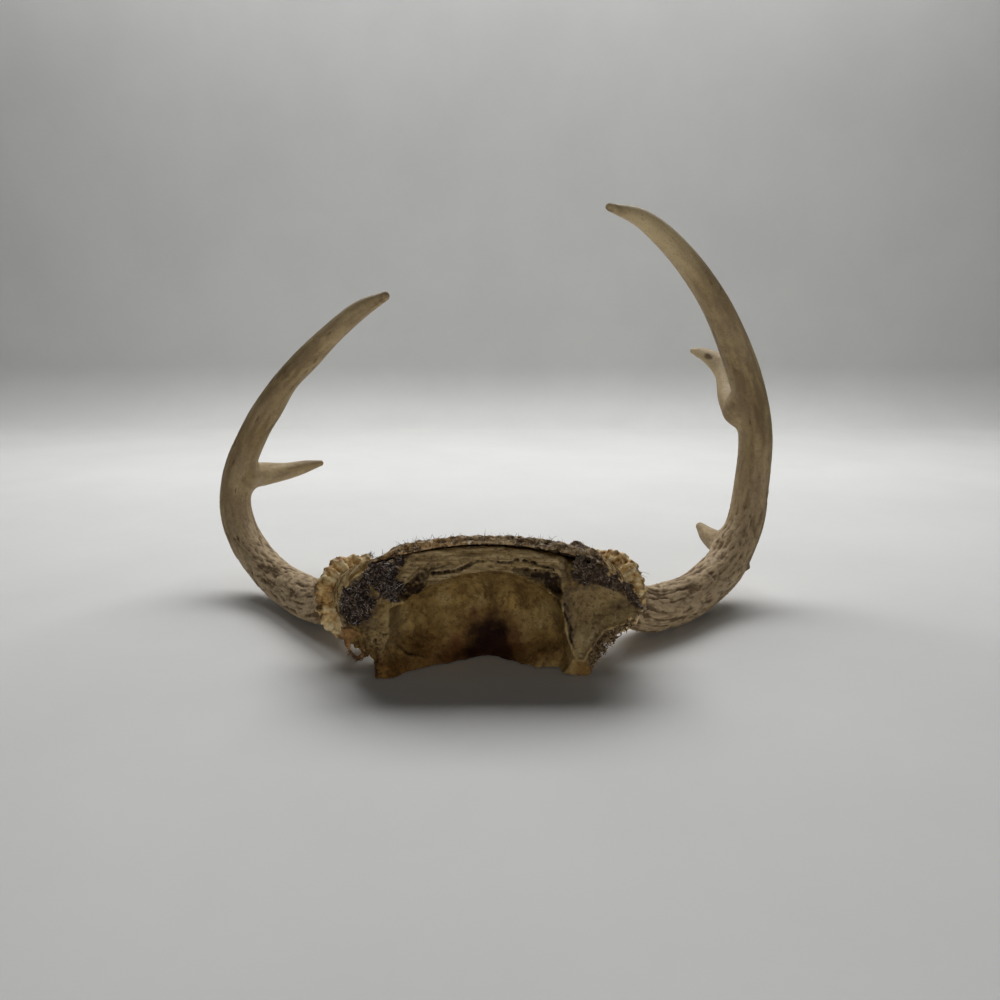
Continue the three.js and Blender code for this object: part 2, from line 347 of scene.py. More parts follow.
def antler(
    name, beam_stations, tine_rows, rough_until, seed, burr_shift, knobs=(), holes=(), bleach=(0.15, 0, 0)
):
    """One antler as a closed mesh: beam, tines and burr grown together, then furrowed.

    The beam is rough as far as rough_until mm from its root. Knobs and holes are (place, radius), and
    bleach says how pale the tips of the beam and of each tine are.
    """
    beam = Limb(beam_stations)
    tines = [Limb(rows) for rows in tine_rows]
    root = np.array(beam_stations[0][:3], float)
    axes = root_axes(beam_stations)

    def field(p):
        d = beam.distance(p)
        for tine in tines:
            close = np.linalg.norm(p - tine.centre[len(tine.centre) // 3], axis=1) < 60
            if close.any():
                d[close] = joined(d[close], tine.distance(p[close]), 5.0)
        close = np.linalg.norm(p - root, axis=1) < 26
        if close.any():
            d[close] = joined(d[close], burr(p[close], axes, seed, burr_shift), 2.4)
        for spot, size in knobs:
            close = np.linalg.norm(p - np.array(spot), axis=1) < 12
            if close.any():
                bump = np.linalg.norm(p[close] - np.array(spot), axis=1) - size
                d[close] = joined(d[close], bump, 1.5)
        return d

    ends = np.vstack([beam.centre] + [t.centre for t in tines] + [root - 14, root + 14])
    points, quads = surface(field, ends.min(axis=0) - 12, ends.max(axis=0) + 12, ANTLER_STEP)

    # which limb each point is on, and where along it
    gaps = np.stack([limb.distance(points) for limb in [beam, *tines]], 1)
    owner = gaps.argmin(axis=1)
    i = beam.nearest(points)
    grids = [beam.grain(points, i, *size) for size in BEAM_GRAIN]
    fine, wide, long, broad, grit = grids
    along = beam.along[i] / beam.along[-1]
    reach = beam.along[i].copy()
    tip = rise(0.86, 1.0, along)
    tip_fade_and_top_highlight = bleach[0] * rise(0.73, 0.94, along)
    for k, tine in enumerate(tines, 1):
        mine = owner == k
        j = tine.nearest(points[mine])
        for grid, size in zip(grids, TINE_GRAIN):
            grid[mine] = tine.grain(points[mine], j, *size) + 17.3 * k
        share = tine.along[j] / tine.along[-1]
        reach[mine] = np.maximum(reach[mine], rough_until * (1.0 + 0.4 * share))
        tip[mine] = rise(0.7, 1.0, share)
        tip_fade_and_top_highlight[mine] = bleach[k] * rise(0.05, 0.45, share)
    seam = np.abs(gaps.min(axis=1) - np.partition(gaps, 1, axis=1)[:, 1])
    calm = rise(0.0, 2.5, seam) if len(tines) else 1.0

    height, spread, one, two = around(points, *axes)
    drop = points - root
    collar = rise(10.2, 11.8, spread) * rise(12, 8, height) * (np.linalg.norm(drop, axis=1) < 26)

    rugged = 0.08 + 0.92 * rise(rough_until * 1.35, rough_until * 0.6, reach)
    sway = 0.25 * layers(broad * 2.2, 2, seed + 5)[:, None]
    pits = noise(fine + sway, seed) + 0.7 * noise(fine * 2.1 + sway, seed + 1)
    pits = rise(-0.25, 0.7, pits)
    lanes = noise(wide + sway, seed + 2) + 0.45 * noise(fine + 40, seed + 22)
    lanes = rise(-0.08, 0.62, lanes) * rise(-0.6, 0.1, noise(broad * 1.7 + 9, seed + 3))
    furrow = 1 - np.abs(noise(long, seed + 4)) * 1.6
    furrow = rise(0.74, 1.0, furrow) * rise(-0.3, 0.3, noise(broad * 1.3 + 4, seed + 14))
    pearl = rise(0.15, 0.75, noise(fine * [2.4, 1.4, 1.4] + 30, seed + 6)) * rise(60, 16, reach)
    streaks_and_front_shade = 0.55 * noise(long * [1.4, 1.6, 1.6] + 50, seed + 7)
    streaks_and_front_shade += 0.55 * noise(wide * [1.4, 0.8, 0.8] + 80, seed + 8)
    streaks_and_front_shade += 0.38 * layers(fine * 0.9 + 20, 3, seed + 15)
    nick = rise(0.45, 0.8, noise(wide * [2.8, 1.5, 1.5] + 33, seed + 16))
    nick *= rise(-0.1, 0.5, noise(broad * 2.2 + 6, seed + 17))
    nick *= owner == 0
    swell = noise(broad, seed + 9)

    hole = np.zeros(len(points))
    for spot, size in holes:
        off = (points - np.array(spot)) * [1, 0.4, 1]
        gap = np.sqrt((off**2).sum(axis=1) - 0.32 * (off[:, 0] - off[:, 2]) ** 2)
        gap = gap + 0.35 * noise(points / 1.3, seed + 18)
        hole = np.maximum(hole, 0.85 * rise(size, 0.35 * size, gap))
    for spot, size in knobs:
        gap = np.linalg.norm(points - np.array(spot), axis=1)
        hole = np.maximum(hole, 0.7 * rise(size + 1.4, size, gap))
    depth = rugged * (0.3 * pits + 0.55 * lanes) + (0.07 + 0.25 * rugged) * furrow
    depth = depth + 0.28 * nick * (1 - rugged) + 0.5 * hole
    lift = 0.6 * pearl + (0.3 + 0.3 * rugged) * swell + 0.08 * layers(grit, 2, seed + 10) * (0.35 + rugged)
    move = calm * (1 - collar) * (lift - depth) * (1 - 0.8 * tip)
    # folds of the burr split into finer ones towards its rim
    circle = np.stack([one, two], 1) / np.maximum(spread, 1e-6)[:, None]
    turned = np.column_stack([circle * 6.5, height / 7])
    turned += 0.4 * layers(drop / 5, 2, seed + 20)[:, None]
    ray = 1 - 2.2 * np.abs(noise(turned, seed + 12))
    ray = ray + 0.8 * (1 - 2.2 * np.abs(noise(turned * 2.3, seed + 19)))
    ray *= np.clip(0.75 + 0.9 * noise(drop / 4, seed + 21), 0.1, 1.3)
    knob = layers(drop / 2.4, 3, seed + 13)
    move += collar * (0.52 * ray + 0.36 * knob - 0.15)
    n = normals(points, quads)
    # painted highlight: surfaces that face up, 105 to 140 mm high, are made paler, besides the bleached tips
    tip_fade_and_top_highlight = np.maximum(tip_fade_and_top_highlight, 0.55 * rise(0.3, 0.95, n[:, 2]) * rise(105, 140, points[:, 2]))
    # painted shade: high on the beams, surfaces that face the front get more of the dark streak colour
    streaks_and_front_shade -= 0.32 * rise(-0.5, -0.95, n[:, 1]) * rise(60, 95, points[:, 2]) * (owner == 0)
    out = points + n * move[:, None]
    out[:, 2] = np.maximum(out[:, 2], 0.02)

    spots = rugged * (0.55 * pits + 0.75 * lanes) + (0.15 + 0.25 * rugged) * furrow - 0.4 * rugged * pearl
    dark = np.clip(spots + 0.75 * nick * (1 - 0.6 * rugged), 0, 1)
    end = rise(0.955, 1.0, along) * (owner == 0) * np.clip(0.2 + 0.7 * noise(points / 3, seed + 24), 0, 1)
    dark = np.maximum(np.maximum(dark, hole), end)
    folds = 0.7 * ray + 0.9 * knob
    burnt = 0.7 * rise(14.6, 16.4, spread) * rise(-0.15, 0.4, noise(drop / 2.4, seed + 23))
    dark = np.where(collar > 0.5, np.maximum(rise(0.25, -0.9, folds), burnt), dark)
    masks = {
        "dark": dark,
        "rugged": rugged,
        "streaks_and_front_shade": np.clip(0.5 + 0.5 * streaks_and_front_shade, 0, 1),
        "collar": collar,
        "tip_fade_and_top_highlight": tip_fade_and_top_highlight,
        "pale": np.clip(0.4 + 0.4 * swell + 0.5 * pearl + 0.6 * collar * (folds - 0.3), 0, 1),
    }
    return piece(name, out, quads, masks)


# ---------------------------------------------------------------- the skull plate
SAW_Y = -73.0
# over x: how far behind the saw cut the hollow's lower edge is, how high the plate's lower edge is above
# the floor (it stands on two corners), and how high the crease in the hollow lies
LOWER_EDGE = (
    [-40, -36, -30.9, -24, -19.5, -8.2, -4, 0.5, 4, 8.3, 13, 18.7, 24, 29, 34.4, 37],
    [-2, -0.6, 2.0, 6.0, 8.6, 12.2, 15, 17, 15, 12, 8.6, 6.2, 6.0, 5.6, 1.0, 0],
)
FLOOR_GAP = (
    [-43, -40.5, -38, -32, -20, 0, 18, 29, 33, 36, 38, 41],
    [1.0, 0, 0, 0.3, 0.4, 0.35, 0.4, 0.8, 0, 0, 0.5, 1.2],
)
CREASE = (
    [-40, -35, -32, -29.6, -25.4, -19, -12, 14, 18, 22, 27, 31, 35],
    [14, 10.3, 8.3, 5.9, 4.6, 2.4, 0, 0, 1.6, 4.6, 6.8, 9, 12],
)
PLATE_OUTLINE = [
    [-39.4, -5], [-39.8, 0], [-41, 5], [-46.5, 8.2], [-50.5, 15], [-52.5, 24], [-52, 30], [-47, 37],
    [-38, 42.5], [-27, 45.5], [-13, 47], [0, 47.5], [13, 46.5], [26, 43.5], [37, 40], [46, 36], [53, 31.5],
    [56, 26.5], [49, 20], [42, 13.5], [39.2, 6], [38.4, 2], [37, -0.5], [34, -5],
]
DOME = ([0, SAW_Y, 20], [62, 28, 28.5])
# rim of the brain hollow on the underside, [x, z]
HOLLOW_RIM = [
    [-37.8, -5], [-37.9, 5], [-36.2, 11.4], [-34.3, 16.3], [-34.5, 25.6], [-31, 27.2], [-27.6, 28.4],
    [-23.5, 31], [-20.2, 33.8], [-15, 36.2], [-8, 38], [0, 38.9], [8, 38.7], [14, 37.2], [19.4, 34.2],
    [23.8, 30.8], [26.3, 28], [27.7, 22], [28.2, 17], [29, 14], [30.8, 9.7], [32.9, 6], [34, 2], [34.3, -5],
]
RIGHT_SOCKET_FACE = [
    [27.6, 33.8], [32.7, 34.2], [38.3, 35], [44.4, 34.2], [48.5, 31.5], [52.7, 27.5], [54.6, 25.2],
    [51, 21.3], [46.9, 19.9], [42.5, 18.5], [39.3, 14.3], [37.2, 10.8], [35, 6.8], [33.2, 6.8], [31.4, 10],
    [29.8, 14.3], [29, 18.5], [28.9, 22.9], [27.4, 28.8],
]
LEFT_POCKET = [
    [-30.3, 30.8], [-29.7, 32.7], [-27, 36.4], [-23.7, 39.6], [-19.7, 41.7], [-18.4, 40.2], [-20.6, 38.7],
    [-22, 35.5], [-21.2, 32.7], [-23.5, 31.2], [-28.1, 28.6],
]
RIGHT_POCKET = [
    [10, 39.8], [15.3, 39.6], [20.5, 39], [25.3, 38.4], [26.2, 35.3], [26.3, 29.8], [23.8, 32], [19.8, 35],
    [14.1, 38.1],
]
# [x, z, width] along each crack
BROW_CRACK = [
    [-19, 38.6, 1.2], [-11.7, 39.3, 1.0], [-8.5, 40.2, 1.5], [-5.9, 41.2, 1.5], [-3.2, 42.4, 0.8],
    [2.6, 42.4, 0.6], [6, 41.9, 1.1], [8.8, 42, 0.8], [10.4, 42.8, 0.8], [14.9, 42.4, 1.1],
    [20.5, 40.8, 0.9], [24, 39.6, 1.3],
]
LOW_CRACK = [
    [-33.8, 9.6, -0.4], [-32, 8.3, 0.0], [-29.6, 6.1, 0.25], [-25.4, 4.8, 0.15], [-21.5, 3.1, -0.5],
]
SOCKET_CRACK = [
    [27.7, 29, 0.2], [28.0, 24.5, 0.6], [29.3, 20.5, 0.8], [30.6, 18, 1.1], [30.3, 14.5, 0.9],
    [31.4, 12, 0.3],
]
LEFT_TISSUE_A = [
    [-51.4, 31.1], [-47.5, 34.5], [-42.9, 37.5], [-40.6, 32], [-39.6, 27.5], [-41.8, 22.8], [-45, 20.6],
    [-48.6, 20.4], [-51.3, 24.4],
]
LEFT_TISSUE_B = [
    [-43, 40.2], [-38, 43], [-33.5, 44], [-29.5, 44.6], [-29.8, 42.6], [-33, 40.4], [-31.2, 37.5],
    [-30.2, 35], [-29.8, 31.5], [-32.4, 29.0], [-35.5, 30.2], [-38.6, 34], [-42, 36],
]
RIGHT_TISSUE = [
    [29.6, 41.5], [33, 43.5], [38.1, 42.2], [44.2, 39.1], [48.4, 35.9], [52.8, 31.9], [56.2, 26.4],
    [53.5, 26.2], [50.6, 30.2], [46.4, 33.4], [40, 35.4], [33, 35.0], [30, 37.6],
]
RIGHT_FRINGE = [
    [54, 24.8], [50.6, 20.8], [46.6, 19], [42.6, 17.6], [39.6, 13.8], [37.6, 10], [36.2, 6.4], [38.2, 4.4],
    [41.2, 7.2], [43.6, 11], [46.2, 14.4], [50, 18.4],
]


class Face:
    """The front of the plate on a fine x-z grid: how far back it lies and what is on it."""

    STEP, LOW_X, LOW_Z, COUNT_X, COUNT_Z = 0.2, -64.0, -4.0, 650, 290

    def __init__(self):
        xs = self.LOW_X + self.STEP * np.arange(self.COUNT_X)
        zs = self.LOW_Z + self.STEP * np.arange(self.COUNT_Z)
        u, v = (g.ravel() for g in np.meshgrid(xs, zs, indexing="ij"))
        flat = np.stack([u, v, 0 * u], 1)
        edge = polygon(u, v, PLATE_OUTLINE)
        lower = rise(24, 12, v) * rise(20, 38, np.abs(u + 1))
        foot = rise(3.5, 0.5, v)
        edge += (0.45 + 1.1 * lower * (1 - foot)) * layers(flat / 3.4, 4, 301) * (1 - 0.8 * foot)

        # the brain hollow: two lobes with a ridge between them
        inside = -polygon(u, v, HOLLOW_RIM) + 0.35 * layers(flat / 4, 3, 311)
        room = np.sqrt(np.clip(1 - ((u + 3) / 36) ** 2 - ((v - 15) / 27) ** 2, 0, 1))
        steep = np.sqrt(np.clip(1 - (1 - np.clip(inside / 13, 0, 1)) ** 2, 0, 1))
        hollow = joined(23.5 * room, 22.5 * steep, 3.0)
        middle = u - np.interp(v, [18, 28, 37], [1.6, -0.3, -1.5]) - 0.5 * noise(flat / 5, 312)
        hollow -= 2.3 * np.exp(-np.abs(middle) / 1.5) * rise(13, 20, v)
        hollow += 1.6 * blob(u, v, -14, 24, 8, 9)
        hollow += 1.9 * blob(u, v, 11, 25, 7, 9)
        pit = blob(u, v, 1.0, 6, 6.5, 8.5)
        hollow += 2.6 * pit
        hollow += 0.6 * layers(flat / 6, 4, 313) + 0.4 * noise(flat / [2.2, 5, 1], 317)
        hollow += 0.3 * layers(flat / 1.7, 3, 314)
        # fine ribs that follow its upper rim
        ribs = noise(np.stack([inside / 0.9, u / 9, v / 9], 1), 315)
        hollow += 0.34 * ribs * rise(22, 30, v) * rise(11, 4, inside)
        # its lower part flares out towards the floor, below a crease on both sides
        crease = np.interp(u, *CREASE) + 0.35 * noise(flat / 3, 318)
        flare = np.interp(u, *LOWER_EDGE) + 0.35 * layers(flat / 4.5, 3, 319)
        flare += 0.5 * np.maximum(v, 0) + 1.5 * np.maximum(v - crease, 0) + 0.4 * rise(-0.4, 0.3, v - crease)
        hollow = joined(hollow, flare, 1.4)
        dome = np.sqrt(np.clip(1 - (u / 62) ** 2 - ((v - 20) / 28.5) ** 2, 0, 1))
        hollow = joined(hollow, 28 * dome - 3.4 + 0.9 * pit, 1.5)
        gentle = rise(0, 6, inside)
        corners = np.maximum(rise(-28, -33, u), 0.8 * rise(26, 30, u))
        hollow = hollow * (1 - (1 - gentle) * rise(12, 6, v) * corners)
        hollow = np.where(inside > 0, np.maximum(hollow, 0), 0)
        bowl = rise(-0.1, 0.9, inside)

        # the saw cut through the forehead leans back
        band = rise(-34, -27, u + 1.5 * noise(flat / 3, 346)) * rise(29.5, 27.5, u)
        grain = noise(flat / [9, 1.1, 1], 322) + 0.6 * noise(flat / [4, 0.6, 1], 323)
        lean = np.maximum(0, 1.5 + 0.6 * (v - 38)) + 0.32 * grain + 0.45 * layers(flat / 3.5, 4, 324)
        brow = path(u, v, BROW_CRACK) + 0.5 * layers(flat / 1.6, 3, 325)
        lean += np.where(v < 42, 0.5, 0) * rise(0.0, 1.0, brow)
        back = band * rise(35, 36.5, v) * np.maximum(lean, 0)

        # rounded bone of the left socket and the hollow face of the right one
        mass = rise(-28, -33, u)
        lump = 1.5 * blob(u, v, -39.5, 19, 5, 8)
        lump += 0.9 * blob(u, v, -36, 36, 4, 7)
        lip_l = rise(15, 20, v) * rise(-30, -38, u) * bell(edge, -1.0, 0.7)
        chin = 1.6 * mass * rise(13, 8, v) * rise(1.5, 6.5, v)
        back += mass * (0.9 - lump) * rise(-1, 5, v) + chin - 0.9 * lip_l
        back += 0.75 * mass * layers(flat / 3.2, 4, 326) - 2.3 * mass * rise(6, 0.5, v)
        back += 0.45 * mass * layers(flat / 1.2, 2, 354) * rise(30, 24, v)
        socket = polygon(u, v, RIGHT_SOCKET_FACE) + 0.25 * layers(flat / 2.5, 3, 327)
        cup = 3.6 * rise(0.2, -7.5, socket) + 0.7 * rise(0.2, -1.0, socket)
        side = rise(25, 28, u)
        worn = np.clip(0.75 + 0.9 * noise(flat / 2.6, 337), 0.1, 1.3)
        rim = bell(socket, 0.45, 0.6) * rise(34, 28, v) * worn
        dimples = rise(0.25, 0.7, noise(flat / 1.9, 338))
        back += side * (cup + 0.34 * layers(flat / 2.4, 4, 328) - 0.8 * rim + 0.4 * dimples)
        back += side * rise(31, 42, v) * 1.6 * rise(-1, 1.5, socket) + side * rise(5, -1, v) * 0.6
        back += side * rise(-0.2, 0.8, socket) * 0.55 * layers(flat / 2.1, 3, 347)
        fringe = polygon(u, v, RIGHT_FRINGE) + 0.5 * layers(flat / 1.5, 3, 329)
        fringe = rise(0.6, -0.6, fringe)
        back += side * fringe * (1.3 + 1.1 * layers(flat / 1.6, 3, 330))

        cracks_and_shade = np.zeros_like(u)
        for stations, deep, wild, slim in (
            (BROW_CRACK, 1.7, 0.42, 0.28), (LOW_CRACK, 0.5, 0.2, 0), (SOCKET_CRACK, 1.0, 0.5, 0),
        ):
            gap = path(u, v, stations) + wild * layers(flat / 1.5, 3, 331) + slim
            back += deep * rise(0.4, -0.4, gap)
            faint = np.clip(0.8 + 0.8 * noise(flat / 3, 339), 0.35, 1)
            cracks_and_shade = np.maximum(cracks_and_shade, rise(0.55, -0.35, gap) * faint)
        pocket = np.minimum(polygon(u, v, LEFT_POCKET), polygon(u, v, RIGHT_POCKET))
        pocket += 0.6 * layers(flat / 2.2, 4, 332) - 0.7
        low = rise(0.62, 0.2, (v - 28) / 14)
        right = rise(0, 8, u)
        back += rise(0.3, -1.3, pocket) * (2.3 + 3.2 * low + 0.7 * noise(flat / [1.2, 4, 1], 333))
        # painted shade in the two pockets, darker in their lower, deeper part
        mottled = np.clip(0.9 + 0.7 * noise(flat / 1.4, 356), 0.3, 1.2)
        cracks_and_shade = np.maximum(cracks_and_shade, rise(0.9, -2.0, pocket) * (0.62 + 0.4 * low + 0.22 * right) * mottled)
        # painted shade: a dark line along the upper rim of the hollow, and in the grooves between the ribs
        # inside it
        verge = bell(inside, 0.2, 0.6) * rise(23, 28, v) * worn
        cracks_and_shade = np.maximum(cracks_and_shade, 0.5 * verge)
        cracks_and_shade = np.maximum(cracks_and_shade, 0.55 * rise(0.25, 0.8, ribs) * rise(22, 30, v) * rise(8, 3, inside) * band)

        porous = mass * rise(25, 14, v) * rise(0.5, -0.3, inside)
        porous = np.maximum(np.clip(porous, 0, 1), fringe * 0.7)
        holes = rise(-0.05, 0.5, noise(flat / 1.3, 334)) + 0.7 * rise(0.1, 0.5, noise(flat / 0.7, 335))
        back += porous * 0.95 * holes
        depth = back + hollow
        fine = 0.22 * layers(flat / 1.1, 3, 336) * (1 - 0.4 * bowl)
        back = (SAW_Y + depth + fine).reshape(self.COUNT_X, self.COUNT_Z)
        tilt = np.hypot(*np.gradient(back, self.STEP))
        low_scrap, high_scrap = polygon(u, v, LEFT_TISSUE_A), polygon(u, v, LEFT_TISSUE_B)
        stain = rise(6.0, -1.2, low_scrap + 1.6 * noise(flat / 1.5, 357))
        stain = np.maximum(stain, rise(3.6, -1.0, high_scrap + 1.2 * noise(flat / 1.5, 358)))
        stain = np.maximum(stain, rise(1.8, -0.6, polygon(u, v, RIGHT_TISSUE)))
        stain = np.maximum(stain, 0.75 * blob(u, v, 50, 27.5, 4.5, 3.0))
        stain = np.maximum(stain, 0.55 * blob(u, v, 35, 33.5, 7, 1.8))
        seam = bell(socket, -0.9, 1.3) * rise(36, 31, u) * rise(9, 14, v)
        stain = np.maximum(stain, 0.75 * seam + 0.5 * side * rise(32.5, 35, v) * rise(42, 36, u))
        stain *= np.clip(0.85 + 0.6 * layers(flat / 1.8, 3, 348), 0.1, 1.2)
        pale = 0.75 * mass * rise(30, 20, v) * rise(5, 12, v) * rise(-47, -41, u)
        pale = np.maximum(rise(0.3, -0.8, socket) * side, pale)
        # painted shade: dark at the bottom of the hollow, most at its deepest spot and along its lower edge
        pit_shade = 1.25 * blob(u, v, 1.5, 5, 8, 10) * (1 + 0.55 * layers(flat / 4, 3, 352))
        pit_shade += 0.42 * blob(u, v, -4, -1, 17, 7) * (1 + 0.7 * layers(flat / 3, 3, 353))
        # painted shade: darker towards the bottom of the front, near the floor, less so in the right socket
        # and between x 8 and 34 mm
        dim = rise(16, 1, v) * np.clip(0.85 + 0.5 * layers(flat / 5, 3, 355), 0, 1.3)
        dim *= (1 - 0.9 * side * rise(0.6, -0.6, socket)) * (1 - 0.55 * rise(8, 15, u) * rise(34, 31, u))
        dots = rise(-0.1, 0.45, noise(flat / 0.85, 359)) * rise(5.5, 0.0, low_scrap) * mass
        stain = np.maximum(stain, 0.85 * dots)
        cracks_and_shade = cracks_and_shade + porous * holes * 0.48 + 0.45 * side * dimples * rise(0.5, -1, socket)
        # pale rims and lips, and a painted highlight low in the right socket
        rims_and_highlight = side * rim + 0.8 * lip_l + 0.75 * side * rise(21, 9, v) * rise(0, -1.5, socket) * worn
        rims_and_highlight = rims_and_highlight + 0.4 * mass * worn * bell(inside, -0.6, 0.8) * rise(28, 24, v)
        grids = {
            "edge": edge,
            "slope": np.sqrt(1 + np.minimum(tilt, 6) ** 2).ravel(),
            "pit": np.clip(pit_shade, 0, 1) * bowl,
            "cracks_and_shade": np.clip(cracks_and_shade, 0, 1),
            "band": band * rise(-0.3, 0.5, -inside) * rise(33.5, 36.5, v),
            "pale": np.clip(pale, 0, 1),
            "rim": np.clip(rims_and_highlight, 0, 1),
            "dim": np.clip(dim, 0, 1),
            "stain": np.clip(stain, 0, 1),
            "ridge": bell(middle, 1.6, 1.4) * rise(8, 16, v) * rise(36, 30, v) * bowl,
        }
        self.grids = {k: g.reshape(back.shape).astype(np.float32) for k, g in grids.items()}
        self.grids["back"] = back.astype(np.float32)

    def read(self, p, *names):
        """Values at the points' x and z, mixed from the four nearest grid points."""
        s = np.clip((p[:, 0] - self.LOW_X) / self.STEP, 0, self.COUNT_X - 1.001)
        t = np.clip((p[:, 2] - self.LOW_Z) / self.STEP, 0, self.COUNT_Z - 1.001)
        i, j = s.astype(int), t.astype(int)
        s, t = s - i, t - j
        found = []
        for name in names:
            g = self.grids[name]
            low = g[i, j] * (1 - s) + g[i + 1, j] * s
            high = g[i, j + 1] * (1 - s) + g[i + 1, j + 1] * s
            found.append(low * (1 - t) + high * t)
        return found if len(found) > 1 else found[0]


FACE = Face()
PEDICLES = [root_axes(LEFT_BEAM), root_axes(RIGHT_BEAM)]


def pedicle(p, axes):
    """Stalk of bone below a burr, ringed by low folds."""
    height, reach, one, two = around(p, *axes)
    width = np.interp(height, [-16, 0], [13.0, 11.4])
    folds = np.column_stack([height / 1.05, one / 8, two / 8])
    width = width + (0.6 * noise(folds, 341) + 0.3 * noise(folds * 2.1, 349)) * rise(-15, -9, height)
    return np.maximum(reach - width, np.abs(height + 7.4) - 9.0)


def crown(p):
    """Outer form of the plate before it was sawn: dome and pedicles."""
    dome = ellipsoid(p, *DOME) + 0.35 * layers(p / 7, 3, 342)
    stalks = np.minimum(pedicle(p, PEDICLES[0]), pedicle(p, PEDICLES[1]))
    return dome, stalks


def skull_field(p):
    edge, back, slope = FACE.read(p, "edge", "back", "slope")
    dome, stalks = crown(p)
    d = joined(common(edge, dome, 2.5), stalks, 2.0)
    d = common(d, (back - p[:, 1]) / slope, 0.9)
    gap = np.interp(p[:, 0], *FLOOR_GAP)
    gap = np.maximum(gap + rise(0.05, 0.3, gap) * 0.15 * noise(p / [3, 3, 30], 343), 0)
    return np.maximum(d, gap - p[:, 2])


def skull_plate():
    points, quads = surface(skull_field, [-60, -77.5, -2], [62, -32, 52], SKULL_STEP)
    n = normals(points, quads)
    front = rise(2.2, 0.6, np.abs(points[:, 1] - FACE.read(points, "back"))) * rise(0.4, -0.1, n[:, 1])
    names = ("pit", "cracks_and_shade", "band", "pale", "rim", "dim", "stain", "ridge")
    masks = {key: value * front for key, value in zip(names, FACE.read(points, *names))}
    dome, stalks = crown(points)
    masks["stalk"] = rise(2.5, 0.4, np.abs(stalks)) * rise(0, 2, dome) * (1 - front)
    near = [around(points, *axes)[0] for axes in PEDICLES]
    rings = np.column_stack([np.where(points[:, 0] < 0, *near) / 0.9, points[:, 1:] / 7])
    masks["fold"] = rise(-0.6, 0.7, noise(rings, 350) + 0.6 * layers(points / 1.6, 2, 351))
    texture = 0.12 * layers(points / 0.9, 2, 344) + 0.22 * layers(points / 2.4, 2, 345) * (1 - front)
    points = points + n * (texture * rise(0.2, 1.2, points[:, 2]))[:, None]
    points[:, 2] = np.maximum(points[:, 2], 0)
    return piece("skull_bone", points, quads, masks)


# ---------------------------------------------------------------- dried hide, tissue and hairs
def tubes(paths, thick, thin, sides=4):
    """Closed tapering tubes along paths of shape (count, steps, 3), as one mesh."""
    count, steps, _ = paths.shape
    ahead = np.gradient(paths, axis=1)
    ahead /= np.maximum(np.linalg.norm(ahead, axis=2, keepdims=True), 1e-9)
    side = np.cross(ahead, [0.31, 0.17, 0.93])
    side /= np.maximum(np.linalg.norm(side, axis=2, keepdims=True), 1e-9)
    up = np.cross(ahead, side)
    radius = np.linspace(1, 0, steps)[None, :] * (thick - thin)[:, None] + thin[:, None]
    turn = 2 * np.pi * np.arange(sides) / sides
    ring = side[:, :, None] * np.cos(turn)[:, None] + up[:, :, None] * np.sin(turn)[:, None]
    points = paths[:, :, None] + ring * radius[:, :, None, None]
    k = np.arange(sides)
    one, two = k, (k + 1) % sides
    faces = []
    for s in range(steps - 1):
        a, b = s * sides, (s + 1) * sides
        faces.append(np.stack([a + one, a + two, b + two, b + one], 1))
    faces = np.vstack(faces)
    ends = np.array([k[::-1], (steps - 1) * sides + k])
    shift = (np.arange(count) * steps * sides)[:, None, None]
    quads = (faces[None] + shift).reshape(-1, 4)
    caps = (ends[None] + shift).reshape(-1, sides)
    return points.reshape(-1, 3), [*quads.tolist(), *caps.tolist()], steps * sides


def strands(rng, roots, ahead, length, curl, steps=6):
    """Curling paths from each root, that start in a direction and wander."""
    count = len(roots)
    heading = ahead + rng.normal(0, 0.45, (count, 3))
    heading /= np.linalg.norm(heading, axis=1, keepdims=True)
    axis = rng.normal(size=(count, 3))
    axis /= np.linalg.norm(axis, axis=1, keepdims=True)
    rate = curl * rng.uniform(0.3, 1.0, count) / (steps - 1)
    at, rows = roots.copy(), [roots]
    for _ in range(steps - 1):
        c, s = np.cos(rate)[:, None], np.sin(rate)[:, None]
        along = (axis * heading).sum(1, keepdims=True)
        heading = heading * c + np.cross(axis, heading) * s + axis * along * (1 - c)
        at = at + heading * (length / (steps - 1))[:, None]
        rows.append(at)
    return np.stack(rows, 1)


def scatter(rng, corners, count):
    """Random [x, z] places inside a polygon."""
    corners = np.array(corners, float)
    low, high = corners.min(0), corners.max(0)
    found = np.empty((0, 2))
    while len(found) < count:
        tries = rng.uniform(low, high, (count * 3, 2))
        found = np.vstack([found, tries[polygon(tries[:, 0], tries[:, 1], corners) < 0]])
    return found[:count]


def merged(name, parts):
    """One object from several (points, faces, masks) shells."""
    points, faces, masks, start = [], [], {}, 0
    keys = sorted({key for part in parts for key in part[2]})
    for some, bits, marks in parts:
        points.append(some)
        faces += [[start + i for i in face] for face in bits]
        for key in keys:
            masks.setdefault(key, []).append(marks.get(key, np.zeros(len(some))))
        start += len(some)
    return piece(name, np.vstack(points), faces, {k: np.concatenate(m) for k, m in masks.items()})


